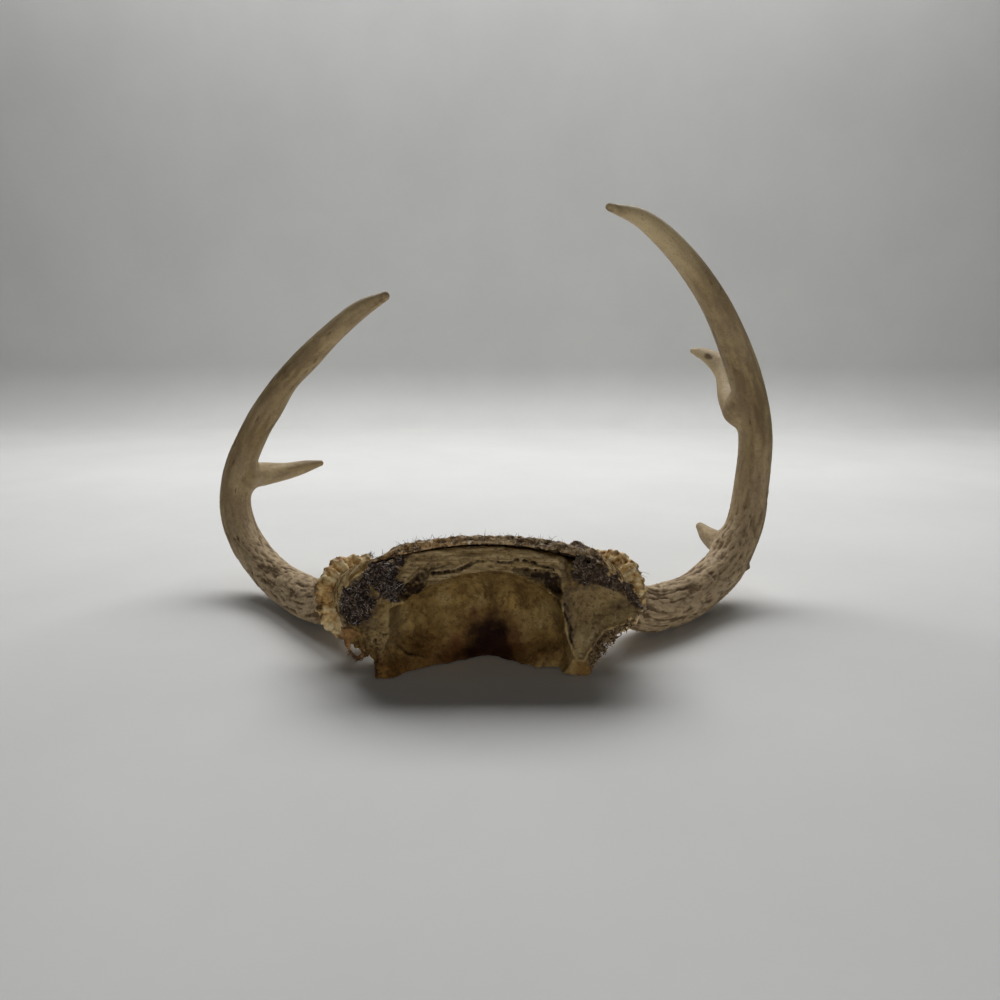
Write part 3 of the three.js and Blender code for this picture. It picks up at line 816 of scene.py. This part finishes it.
def tissue_base(corners, thick, seed, grow, ragged, warm=0.0):
    """A lumpy skin of dried tissue that lies on the front of the plate inside a polygon."""
    corners = np.array(corners, float)

    def field(p):
        gap = polygon(p[:, 0], p[:, 2], corners) - grow + ragged * layers(p / 3.0, 4, seed)
        back = FACE.read(p, "back")
        lumps = 0.7 + 0.9 * layers(p / 1.9, 2, seed + 5) + 0.6 * noise(p / 0.75, seed + 7)
        proud = thick * rise(0.5, -3.5, gap) * lumps + 0.15
        return np.maximum(gap * 0.8, np.abs(p[:, 1] - back + (proud - 0.5) / 2) - (proud + 0.5) / 2)

    low, high = corners.min(0) - 2.5, corners.max(0) + 2.5
    points, quads = surface(field, [low[0], -78, max(low[1], -1)], [high[0], -62, high[1]], TISSUE_STEP)
    points[:, 1] = np.maximum(points[:, 1], TISSUE_FRONT)
    lump = noise(points / 0.75, seed + 7) + 0.5 * noise(points / 1.7, seed + 9)
    return points, quads, {"lump": np.clip(0.5 + 0.5 * lump, 0, 1), "warm": np.full(len(points), warm)}


def tissue_strands(rng, corners, count, proud, length, ahead, curl, light, thick, warm=0.0):
    """Short curled shreds that stand off the front of the plate inside a polygon, in clumps."""
    spots = scatter(rng, corners, count * 2)
    roots = np.column_stack([spots[:, 0], np.zeros(len(spots)), spots[:, 1]])
    roots = roots[np.argsort(-noise(roots / 2.0, 356) - rng.uniform(0, 0.9, len(roots)))[:count]]
    roots[:, 1] = FACE.read(roots, "back") + 0.1 - proud * rng.uniform(0.2, 0.9, count)
    size = rng.uniform(0.5, 1.3, count)
    paths = strands(rng, roots, np.array(ahead, float), length * rng.uniform(0.5, 1.3, count), curl)
    paths[:, :, 1] = np.maximum(paths[:, :, 1], SHRED_FRONT)
    paths[:, :, 2] = np.maximum(paths[:, :, 2], 0.4)
    points, faces, each = tubes(paths, thick * size, 0.35 * thick * size)
    pale = rng.uniform(size=count) < light
    bright, dull = rng.uniform(0.55, 1.0, count), rng.uniform(0, 0.35, count)
    tone = np.repeat(np.where(pale, bright, dull), each)
    return points, faces, {"strand": np.ones(len(points)), "tone": tone, "warm": np.full(len(points), warm)}


def left_tissue():
    rng = np.random.default_rng(401)
    parts = [
        tissue_base(LEFT_TISSUE_A, 1.7, 351, -0.3, 3.0),
        tissue_base(LEFT_TISSUE_B, 1.7, 352, 0.1, 2.8),
        tissue_strands(rng, LEFT_TISSUE_A, 520, 1.3, 1.7, [-0.1, -0.7, 0.3], 4.5, 0.32, 0.165),
        tissue_strands(rng, LEFT_TISSUE_B, 560, 1.5, 1.8, [0.1, -0.7, 0.3], 4.0, 0.45, 0.165),
    ]
    return merged("left_tissue_shreds", parts)


def right_tissue():
    rng = np.random.default_rng(402)
    parts = [
        tissue_base(RIGHT_TISSUE, 0.7, 353, 0.0, 3.2, 0.15),
        tissue_strands(rng, RIGHT_TISSUE, 330, 0.5, 1.8, [0.8, -0.2, -0.5], 1.4, 0.14, 0.15, 0.3),
        tissue_base(RIGHT_FRINGE, 0.7, 354, 0.0, 2.2, 1.0),
        tissue_strands(rng, RIGHT_FRINGE, 230, 0.5, 1.8, [0.6, -0.3, -0.6], 4.0, 0.5, 0.26, 1.0),
    ]
    whiskers = np.array([
        [[52.5, -61.5, 37.2], [54, -61.8, 36.8], [56, -62, 36.3], [58, -62.1, 36.0], [59.8, -62, 35.2]],
        [[53.5, -62, 36.2], [54.6, -62.4, 35.6], [56.2, -62.6, 35.2], [57.6, -62.8, 34.9], [58.8, -63, 34.2]],
    ])
    points, faces, _ = tubes(whiskers, np.array([0.09, 0.08]), np.array([0.04, 0.04]))
    parts.append((points, faces, {"strand": np.ones(len(points)), "tone": np.full(len(points), 0.8)}))
    return merged("right_tissue_shreds", parts)


FLAP = [
    [-52.2, 18.6], [-48.5, 18.6], [-44.6, 16.2], [-42.2, 12.5], [-43.6, 8.4], [-44.6, 6.6], [-46.8, 5.6],
    [-49.2, 7.8], [-51.6, 14.2],
]
FLAP_HOLE = [
    [-48.4, 13.0], [-46.2, 15.2], [-44.2, 12.4], [-44.6, 8.9], [-47.0, 7.0], [-49.0, 9.6],
]


def skin_flap():
    """A curled scrap of thin orange-brown skin with a hole torn in it."""

    def field(p):
        x, y, z = p.T
        outline = polygon(x, z, FLAP) + 0.45 * layers(p / 1.8, 3, 361)
        hole = polygon(x, z, FLAP_HOLE) + 0.35 * layers(p / 1.5, 3, 362)
        middle = -71.6 + 0.1 * (x + 48) ** 2 * 0.6 + 0.7 * noise(p / 5, 363) + 0.05 * (14 - z)
        sheet = np.abs(y - middle) - 0.55 - 0.15 * noise(p / 1.5, 364)
        return np.maximum(np.maximum(outline, 0.2 - hole), sheet)

    points, quads = surface(field, [-55, -76, 3], [-39, -66, 21], FLAP_STEP)
    lump = 0.5 + 0.6 * noise(points / 2, 365) + 0.5 * rise(10, 6, points[:, 2])
    shell = (points, quads, {"lump": np.clip(lump, 0, 1)})
    rng = np.random.default_rng(404)
    roots = points[rng.choice(np.flatnonzero(points[:, 2] < 9.5), 60)]
    threads = strands(rng, roots, np.array([0.2, -0.3, -0.8]), rng.uniform(0.6, 1.9, 60), 4.0, 5)
    threads[:, :, 2] = np.maximum(threads[:, :, 2], 3.4)
    spots, faces, _ = tubes(threads, np.full(60, 0.2), np.full(60, 0.06))
    return merged("left_skin_flap", [shell, (spots, faces, {"lump": np.full(len(spots), 0.9)})])


def hide():
    """Layers of dried skin over the forehead, torn along every edge, with broken hair."""

    def place(p):
        around_x = np.degrees(np.arctan2(p[:, 1] - SAW_Y, p[:, 2] - 20))
        first = np.interp(p[:, 0], [-40, -30, -20, -8, 8, 20, 30, 42], [9, 8.5, 11, 11.5, 11.5, 11.5, 10, 12])
        return around_x - first, 70 - around_x

    def field(p):
        dome, stalks = crown(p)
        out = joined(dome, stalks, 4)
        ahead, behind = place(p)
        coarse = layers(p / 4.5, 4, 371)
        ragged = layers(p / 2.0, 3, 372)
        ends = np.maximum(-40.5 - p[:, 0], p[:, 0] - 42) + 1.6 * coarse + 1.6 * noise(p / 9, 378)
        ends = np.maximum(ends, -behind * 0.5 + 1.8 * coarse + 4.2 * noise(p / 7, 379))
        left_burr, right_burr = (around(p, *axes)[0] for axes in PEDICLES)
        ends = np.maximum(ends, np.maximum(left_burr, right_burr) + 1.2)
        share = rise(0.3, -9, ends)
        low = np.abs(out - 0.35 - 0.6 * share - 0.3 * coarse) - 0.25 - 0.45 * share
        low = np.maximum(low, -ahead * 0.5 + 0.1 + 1.2 * ragged + 0.4 * coarse)
        top = 0.7 + 1.85 * share + (0.2 + 0.25 * share) * coarse + 0.4 * ragged
        high = np.abs(out - top) - (0.25 + 0.55 * share + 0.35 * noise(p / 3, 373))
        high = np.maximum(high, -ahead * 0.5 + 0.9 + 1.3 * ragged + 0.8 * coarse)
        joint = joined(low, high, 0.35)
        return np.maximum(joint, ends)

    points, quads = surface(field, [-45, -70.5, 24], [46, -38, 53.5], HIDE_STEP)
    n = normals(points, quads)
    points = points + n * (0.16 * layers(points / 0.9, 2, 374))[:, None]
    points[:, 2] = np.minimum(points[:, 2], HIDE_TOP)
    ahead, _ = place(points)
    masks = {
        "edge": rise(6, 1, ahead) * (1 - 0.5 * rise(8, 26, points[:, 0])),
        "layer": np.clip(0.5 + 0.5 * noise(points / [8, 3, 0.7], 375), 0, 1),
        "lump": np.clip(0.5 + 0.5 * layers(points / 2.5, 2, 376), 0, 1),
        "orange": rise(-6, -16, points[:, 0] + 3 * noise(points / 5, 380)) * rise(9, 3, ahead),
    }
    rng = np.random.default_rng(403)
    shell = (points, quads, masks)
    outer = np.flatnonzero((n[:, 2] > 0.25) | (n[:, 1] > 0.4))
    chosen = outer[rng.choice(len(outer), 1300, replace=False)]
    lay = n[chosen] * 0.05 + np.array([0.05, 2.2, -0.7])
    length = rng.uniform(1.2, 4.2, len(chosen))
    paths = strands(rng, points[chosen] - n[chosen] * 0.15, lay, length, 2.2, 5)
    # a fringe along the torn front edge
    brow = np.flatnonzero((ahead < 2.2) & (n[:, 2] > -0.3))
    brow = brow[np.argsort(-noise(points[brow] / 4, 377) - rng.uniform(0, 1.2, len(brow)))[:200]]
    lay = n[brow] * 0.1 + np.array([0.5, -0.6, -0.1])
    more = strands(rng, points[brow] - n[brow] * 0.15, lay, rng.uniform(0.6, 1.9, len(brow)), 6.5, 5)
    # a tuft on the left burr and a few long loops over the left part of the brow
    spots = np.array([-41.6, -61.0, 42.0]) + rng.normal(0, 0.5, (26, 3))
    tuft = strands(rng, spots, np.array([0.1, -0.1, 1.0]), rng.uniform(0.8, 2.0, 26), 4.5, 5)
    spots = np.column_stack([rng.uniform(-30, -19, 9), np.full(9, -65.0), np.zeros(9)])
    spots[:, 2] = np.interp(spots[:, 0], [-30, -17], [46.2, 48.8])
    loops = strands(rng, spots, np.array([0.5, -0.2, 0.9]), rng.uniform(2.5, 5.0, 9), 8.0, 5)
    paths = np.vstack([paths, more, tuft, loops])
    count = len(paths)
    size = rng.uniform(0.7, 1.2, count)
    spots, faces, each = tubes(paths, 0.1 * size, 0.035 * size, 3)
    tone = np.repeat(rng.uniform(0, 1, count), each)
    hairs = (spots, faces, {"strand": np.ones(len(spots)), "tone": tone})
    return merged("dried_hide_layers", [shell, hairs])


# ---------------------------------------------------------------- materials
class Paint:
    """Builds one node material."""

    def __init__(self, name):
        self.material = bpy.data.materials.new(name)
        self.material.use_nodes = True
        self.tree = self.material.node_tree
        self.shader = self.tree.nodes["Principled BSDF"]
        self.place = self.tree.nodes.new("ShaderNodeTexCoord").outputs["Object"]

    def link(self, socket, value):
        if hasattr(value, "links"):
            self.tree.links.new(value, socket)
        else:
            socket.default_value = (*value, 1) if isinstance(value, tuple) and len(value) == 3 else value

    def mask(self, name):
        node = self.tree.nodes.new("ShaderNodeAttribute")
        node.attribute_name = name
        return node.outputs["Fac"]

    def noise(self, scale, detail=3, rough=0.5, seed=0.0, stretch=None):
        mapping = self.tree.nodes.new("ShaderNodeMapping")
        mapping.inputs["Location"].default_value = (seed, seed * 0.7, -seed)
        mapping.inputs["Scale"].default_value = stretch or (1, 1, 1)
        self.link(mapping.inputs["Vector"], self.place)
        node = self.tree.nodes.new("ShaderNodeTexNoise")
        node.inputs["Scale"].default_value = scale
        node.inputs["Detail"].default_value = detail
        node.inputs["Roughness"].default_value = rough
        self.link(node.inputs["Vector"], mapping.outputs["Vector"])
        return node.outputs["Fac"]

    def ramp(self, value, *stops):
        node = self.tree.nodes.new("ShaderNodeValToRGB")
        points = node.color_ramp.elements
        while len(points) < len(stops):
            points.new(0.5)
        for point, (at, colour) in zip(points, stops):
            point.position = at
            point.color = (*colour, 1) if isinstance(colour, tuple) else (colour, colour, colour, 1)
        self.link(node.inputs["Fac"], value)
        return node.outputs["Color"]

    def over(self, base, colour, value, *stops):
        """Colour laid over base, by a share that the ramp of value gives."""
        return self.mix(self.ramp(value, *stops), base, colour)

    def part(self, name, share):
        """A mask times a constant."""
        return self.sum("MULTIPLY", self.mask(name), share)

    def mix(self, share, a, b, mode="MIX"):
        node = self.tree.nodes.new("ShaderNodeMix")
        node.data_type, node.blend_type = "RGBA", mode
        self.link(node.inputs["Factor"], share)
        self.link(node.inputs["A"], a)
        self.link(node.inputs["B"], b)
        return node.outputs["Result"]

    def sum(self, operation, a, b):
        node = self.tree.nodes.new("ShaderNodeMath")
        node.operation = operation
        self.link(node.inputs[0], a)
        self.link(node.inputs[1], b)
        return node.outputs[0]

    def bump(self, height, strength, distance, under=None):
        node = self.tree.nodes.new("ShaderNodeBump")
        node.inputs["Strength"].default_value = strength
        node.inputs["Distance"].default_value = distance
        self.link(node.inputs["Height"], height)
        if under:
            self.link(node.inputs["Normal"], under)
        return node.outputs["Normal"]

    def finish(self, colour, roughness, normal, specular=0.5):
        self.link(self.shader.inputs["Base Color"], colour)
        self.link(self.shader.inputs["Roughness"], roughness)
        self.link(self.shader.inputs["Normal"], normal)
        self.shader.inputs["Specular IOR Level"].default_value = specular
        return self.material


def antler_material():
    p = Paint("antler")
    cloud = p.noise(28, 3, 0.55, 0.3)
    mottle = p.noise(210, 4, 0.62, 8.3)
    grain = p.noise(420, 4, 0.6, 1.7)
    speck = p.noise(1300, 3, 0.6, 4.1)
    tan = p.ramp(
        cloud, (0.3, (0.196, 0.129, 0.048)), (0.52, (0.282, 0.198, 0.084)), (0.7, (0.37, 0.272, 0.126))
    )
    # the streak mask holds real streaks, and painted shade on the front-facing side of the beams
    tan = p.over(tan, (0.128, 0.076, 0.026), p.mask("streaks_and_front_shade"), (0.22, 0.8), (0.5, 0.0))
    tan = p.over(tan, (0.45, 0.34, 0.17), p.mask("streaks_and_front_shade"), (0.55, 0.0), (0.85, 0.6))
    tan = p.over(tan, (0.15, 0.096, 0.038), mottle, (0.36, 0.55), (0.52, 0.0))
    light = p.mix(p.mask("rugged"), tan, p.mix(0.5, tan, (0.66, 0.49, 0.305)))
    light = p.mix(p.part("pale", 0.45), light, (0.74, 0.57, 0.36))
    # paler at the bleached tips, and a painted highlight on upward-facing surfaces high up
    patchy = p.sum("MULTIPLY", p.mask("tip_fade_and_top_highlight"), p.ramp(cloud, (0.35, 0.35), (0.55, 0.75)))
    light = p.mix(patchy, light, (0.68, 0.53, 0.3))
    dark = p.ramp(grain, (0.35, (0.058, 0.031, 0.012)), (0.65, (0.15, 0.088, 0.038)))
    colour = p.over(light, dark, p.mask("dark"), (0.06, 0.0), (0.8, 0.88))
    rust = p.noise(230, 4, 0.65, 5.5)
    rim = p.ramp(rust, (0.34, (0.27, 0.125, 0.036)), (0.5, (0.64, 0.385, 0.13)), (0.68, (0.92, 0.69, 0.32)))
    rim = p.over(rim, (0.95, 0.78, 0.46), p.mask("pale"), (0.4, 0.0), (1.0, 0.75))
    rim = p.over(rim, (0.085, 0.04, 0.014), p.mask("dark"), (0.1, 0.0), (0.8, 0.92))
    colour = p.mix(p.mask("collar"), colour, rim)
    colour = p.over(colour, (0.12, 0.074, 0.035), speck, (0.3, 0.4), (0.48, 0.0))
    rough = p.ramp(p.sum("ADD", grain, p.mask("dark")), (0.3, 0.5), (1.2, 0.85))
    normal = p.bump(grain, 0.35, 0.0004)
    normal = p.bump(speck, 0.25, 0.00015, normal)
    return p.finish(colour, rough, normal, 0.3)


def bone_material():
    p = Paint("bone")
    cloud = p.noise(75, 4, 0.6, 3.1)
    blotch = p.noise(170, 5, 0.68, 7.7)
    grain = p.noise(600, 4, 0.65, 2.2)
    speck = p.noise(1700, 3, 0.6, 5.2)
    base = p.ramp(
        cloud, (0.34, (0.183, 0.104, 0.027)), (0.5, (0.325, 0.206, 0.065)), (0.66, (0.496, 0.35, 0.142))
    )
    base = p.over(base, (0.118, 0.062, 0.018), blotch, (0.5, 0.0), (0.64, 0.75))
    base = p.over(base, (0.566, 0.362, 0.108), p.noise(120, 4, 0.6, 9.1), (0.56, 0.0), (0.7, 0.6))
    streaks = p.noise(900, 4, 0.65, 1.0, (0.1, 1, 1))
    band = p.ramp(
        streaks, (0.34, (0.17, 0.108, 0.046)), (0.52, (0.46, 0.332, 0.165)), (0.7, (0.78, 0.61, 0.35))
    )
    base = p.mix(p.mask("band"), base, p.mix(0.3, band, base))
    face = p.ramp(
        blotch, (0.34, (0.37, 0.272, 0.138)), (0.52, (0.262, 0.184, 0.084)), (0.66, (0.118, 0.074, 0.032))
    )
    face = p.over(face, (0.132, 0.086, 0.041), grain, (0.52, 0.0), (0.68, 0.6))
    face = p.over(face, (0.42, 0.3, 0.12), cloud, (0.5, 0.0), (0.64, 0.6))
    base = p.mix(p.part("pale", 0.8), base, face)
    # pale rims and lips, and a painted highlight low in the right socket
    base = p.mix(p.part("rim", 0.7), base, (0.578, 0.445, 0.24))
    rings = p.mask("fold")
    fold = p.ramp(
        rings, (0.1, (0.102, 0.054, 0.017)), (0.5, (0.357, 0.242, 0.099)), (0.9, (0.629, 0.484, 0.258))
    )
    fold = p.over(fold, (0.178, 0.094, 0.027), blotch, (0.52, 0.0), (0.66, 0.7))
    base = p.mix(p.part("stalk", 0.85), base, fold)
    base = p.over(base, (0.64, 0.51, 0.31), speck, (0.6, 0.0), (0.7, 0.35))
    base = p.over(base, (0.09, 0.05, 0.018), grain, (0.32, 0.75), (0.48, 0.0))
    # painted shade towards the bottom of the front, where the dim mask is high
    base = p.mix(p.part("dim", 0.85), base, (0.6, 0.44, 0.3), "MULTIPLY")
    # painted shade: near black at the bottom of the hollow, where the pit mask is high
    base = p.over(base, (0.012, 0.003, 0.001), p.mask("pit"), (0.12, 0.0), (0.55, 0.8), (0.95, 1.0))
    # painted shade: a reddish-brown fringe around the dark bottom of the hollow
    shade_fringe = p.ramp(p.mask("pit"), (0.02, 0.0), (0.25, 1.0), (0.7, 0.3))
    base = p.mix(p.sum("MULTIPLY", shade_fringe, p.ramp(cloud, (0.4, 0.0), (0.6, 0.8))), base, (0.13, 0.045, 0.014))
    base = p.mix(p.part("ridge", 0.65), base, (0.08, 0.044, 0.015))
    stain = p.ramp(p.mask("stain"), (0.1, 0.0), (0.9, 0.92))
    stain = p.sum("MULTIPLY", stain, p.ramp(grain, (0.3, 0.6), (0.5, 1.0)))
    base = p.mix(stain, base, (0.046, 0.028, 0.022))
    # dark cracks, pores and dimples, and painted shade in the pockets and along the hollow's upper rim
    base = p.over(base, (0.022, 0.01, 0.006), p.mask("cracks_and_shade"), (0.08, 0.0), (0.75, 0.97))
    normal = p.bump(blotch, 0.6, 0.0007)
    normal = p.bump(grain, 0.8, 0.0005, normal)
    normal = p.bump(speck, 0.3, 0.00015, normal)
    return p.finish(base, p.ramp(grain, (0.3, 0.66), (0.7, 0.9)), normal, 0.15)


def tissue_material():
    p = Paint("tissue")
    blotch = p.noise(420, 4, 0.65, 1.1)
    grain = p.noise(1500, 3, 0.6, 2.9)
    base = p.ramp(
        blotch, (0.32, (0.01, 0.006, 0.005)), (0.52, (0.036, 0.021, 0.016)), (0.7, (0.16, 0.112, 0.078))
    )
    base = p.over(base, (0.26, 0.19, 0.13), p.mask("lump"), (0.5, 0.0), (0.95, 0.75))
    base = p.over(base, (0.008, 0.004, 0.004), p.mask("lump"), (0.15, 0.85), (0.45, 0.0))
    scab = p.ramp(blotch, (0.34, (0.085, 0.048, 0.02)), (0.66, (0.38, 0.265, 0.13)))
    base = p.mix(p.part("warm", 0.75), base, scab)
    strand = p.ramp(
        p.mask("tone"), (0.0, (0.016, 0.009, 0.008)), (0.4, (0.09, 0.06, 0.046)), (1.0, (0.6, 0.51, 0.45))
    )
    ochre = p.ramp(
        p.mask("tone"), (0.0, (0.07, 0.038, 0.016)), (0.4, (0.22, 0.14, 0.066)), (1.0, (0.52, 0.39, 0.225))
    )
    strand = p.mix(p.mask("warm"), strand, ochre)
    base = p.mix(p.mask("strand"), base, strand)
    return p.finish(base, p.ramp(grain, (0.3, 0.6), (0.7, 0.9)), p.bump(grain, 0.5, 0.0003), 0.2)


def flap_material():
    p = Paint("skin")
    blotch = p.noise(260, 4, 0.6, 3.3)
    grain = p.noise(1300, 3, 0.6, 0.9)
    base = p.ramp(
        blotch, (0.34, (0.085, 0.036, 0.012)), (0.52, (0.34, 0.17, 0.052)), (0.7, (0.62, 0.39, 0.165))
    )
    base = p.over(base, (0.06, 0.026, 0.01), grain, (0.3, 0.7), (0.48, 0.0))
    base = p.over(base, (0.09, 0.056, 0.03), p.mask("lump"), (0.65, 0.0), (0.95, 0.8))
    return p.finish(base, p.ramp(grain, (0.3, 0.5), (0.7, 0.75)), p.bump(grain, 0.5, 0.0003), 0.3)


def hide_material():
    p = Paint("hide")
    cloud = p.noise(60, 3, 0.6, 6.0)
    blotch = p.noise(330, 5, 0.7, 1.9)
    grain = p.noise(1400, 3, 0.6, 2.4)
    base = p.ramp(
        blotch, (0.32, (0.034, 0.018, 0.009)), (0.5, (0.175, 0.108, 0.052)), (0.68, (0.54, 0.385, 0.215))
    )
    tan = p.ramp(
        p.mask("layer"), (0.25, (0.11, 0.058, 0.024)), (0.5, (0.48, 0.315, 0.15)), (0.8, (0.76, 0.58, 0.33))
    )
    orange = p.ramp(blotch, (0.36, (0.28, 0.125, 0.036)), (0.6, (0.86, 0.53, 0.21)))
    tan = p.mix(p.part("orange", 0.75), tan, orange)
    base = p.mix(p.sum("MULTIPLY", p.mask("edge"), p.ramp(cloud, (0.38, 0.35), (0.58, 0.9))), base, tan)
    base = p.over(base, (0.02, 0.01, 0.006), blotch, (0.38, 0.75), (0.48, 0.0))
    base = p.over(base, (0.022, 0.012, 0.008), p.mask("lump"), (0.2, 0.7), (0.42, 0.0))
    fleck = p.sum("MULTIPLY", p.ramp(p.noise(700, 3, 0.6, 4.4), (0.56, 0.0), (0.64, 0.85)), p.mask("edge"))
    base = p.mix(fleck, base, (0.82, 0.7, 0.5))
    hair = p.ramp(
        p.mask("tone"), (0.0, (0.02, 0.012, 0.008)), (0.6, (0.14, 0.09, 0.05)), (1.0, (0.48, 0.38, 0.26))
    )
    base = p.mix(p.mask("strand"), base, hair)
    normal = p.bump(blotch, 0.6, 0.0006)
    return p.finish(base, p.ramp(grain, (0.3, 0.6), (0.7, 0.9)), p.bump(grain, 0.5, 0.0003, normal), 0.3)


# ---------------------------------------------------------------- the antlers
ANTLER = antler_material()

right = antler(
    "right_antler", RIGHT_BEAM, [RIGHT_TINE, RIGHT_BROW_TINE], 122, 21, 0.6,
    knobs=[((117.5, 3.2, 17.0), 2.1)],
    holes=[((108.5, 56.5, 109.0), 1.9)],
    bleach=(1.0, 0.65, 0.0),
)
left = antler("left_antler", LEFT_BEAM, [LEFT_TINE], 110, 57, 1.6)
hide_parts("right_beam", "right_tine", "right_brow_tine")
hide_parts("left_beam", "left_tine")
for made in (right, left):
    made.data.materials.append(ANTLER)
    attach(made, "root")


bone = skull_plate()
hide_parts("skull_plate")
hide_piece = hide()
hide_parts("dried_hide")
left_shreds, right_shreds, flap = left_tissue(), right_tissue(), skin_flap()
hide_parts("left_dried_tissue")
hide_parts("right_dried_tissue")
TISSUE = tissue_material()
for made, finish, slot in (
    (bone, bone_material(), "bone"),
    (hide_piece, hide_material(), "hide"),
    (left_shreds, TISSUE, "tissue"),
    (right_shreds, TISSUE, "tissue"),
    (flap, flap_material(), "tissue"),
):
    made.data.materials.append(finish)
    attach(made, "root")


# ---------------------------------------------------------------- stage, light and camera
# in metres: the floor's ends, half its width, the radius of its bend and the height of the wall
FLOOR_FRONT, FLOOR_BACK, HALF_WIDTH, BEND, WALL_TOP = -2.6, 0.593, 3.0, 0.075, 0.52
# the photo's camera: metres, degrees below the horizon, and millimetres on a 36 mm sensor
CAMERA_PLACE, CAMERA_DOWN, CAMERA_LENS = (0.005, -0.323, 0.1234), 13, 27
KEY_WATTS, FILL_WATTS, WORLD_STRENGTH = 11, 3.4, 0.03


def studio():
    """A pale floor that turns up into a low wall well behind the rack."""
    profile = [(FLOOR_FRONT, 0.0), (FLOOR_BACK, 0.0)]
    for k in range(1, 13):
        turn = math.pi / 2 * k / 12
        profile.append((FLOOR_BACK + BEND * math.sin(turn), BEND * (1 - math.cos(turn))))
    profile.append((FLOOR_BACK + BEND, WALL_TOP))
    points = [(x, y, z) for x in (-HALF_WIDTH, HALF_WIDTH) for y, z in profile]
    n = len(profile)
    faces = [(k, k + n, k + n + 1, k + 1) for k in range(n - 1)]
    made = piece("studio_floor", np.array(points) / MM, faces)
    p = Paint("studio_floor")
    tone = p.ramp(p.noise(9, 4, 0.6, 2.0), (0.35, (0.7, 0.7, 0.685)), (0.65, (0.735, 0.735, 0.72)))
    made.data.materials.append(p.finish(tone, 0.6, p.bump(p.noise(160, 4, 0.6), 0.04, 0.0005)))


def area_light(name, place, towards, size, watts):
    lamp = bpy.data.lights.new(name, "AREA")
    lamp.shape, lamp.size, lamp.size_y = "RECTANGLE", *size
    lamp.energy = watts
    made = bpy.data.objects.new(name, lamp)
    made.location = place
    made.rotation_euler = (Vector(towards) - Vector(place)).to_track_quat("-Z", "Y").to_euler()
    bpy.context.scene.collection.objects.link(made)


def light_and_camera():
    world = bpy.data.worlds.new("studio")
    world.use_nodes = True
    sky = world.node_tree.nodes["Background"]
    sky.inputs["Color"].default_value = (0.93, 0.97, 1.0, 1)
    sky.inputs["Strength"].default_value = WORLD_STRENGTH
    bpy.context.scene.world = world
    area_light("overhead", (0.0, 0.58, 0.8), (0, 0.0, 0), (1.3, 0.46), KEY_WATTS)
    area_light("front_fill", (0.15, -1.3, 0.13), (0, 0, 0.05), (1.0, 0.18), FILL_WATTS)
    camera = bpy.data.cameras.new("camera")
    camera.sensor_width, camera.lens = 36, CAMERA_LENS
    camera.clip_start, camera.clip_end = 0.01, 20
    made = bpy.data.objects.new("camera", camera)
    made.location = CAMERA_PLACE
    made.rotation_euler = (math.radians(90 - CAMERA_DOWN), 0, 0)
    bpy.context.scene.collection.objects.link(made)
    bpy.context.scene.camera = made
    bpy.context.scene.view_settings.view_transform = "Standard"


studio()
light_and_camera()
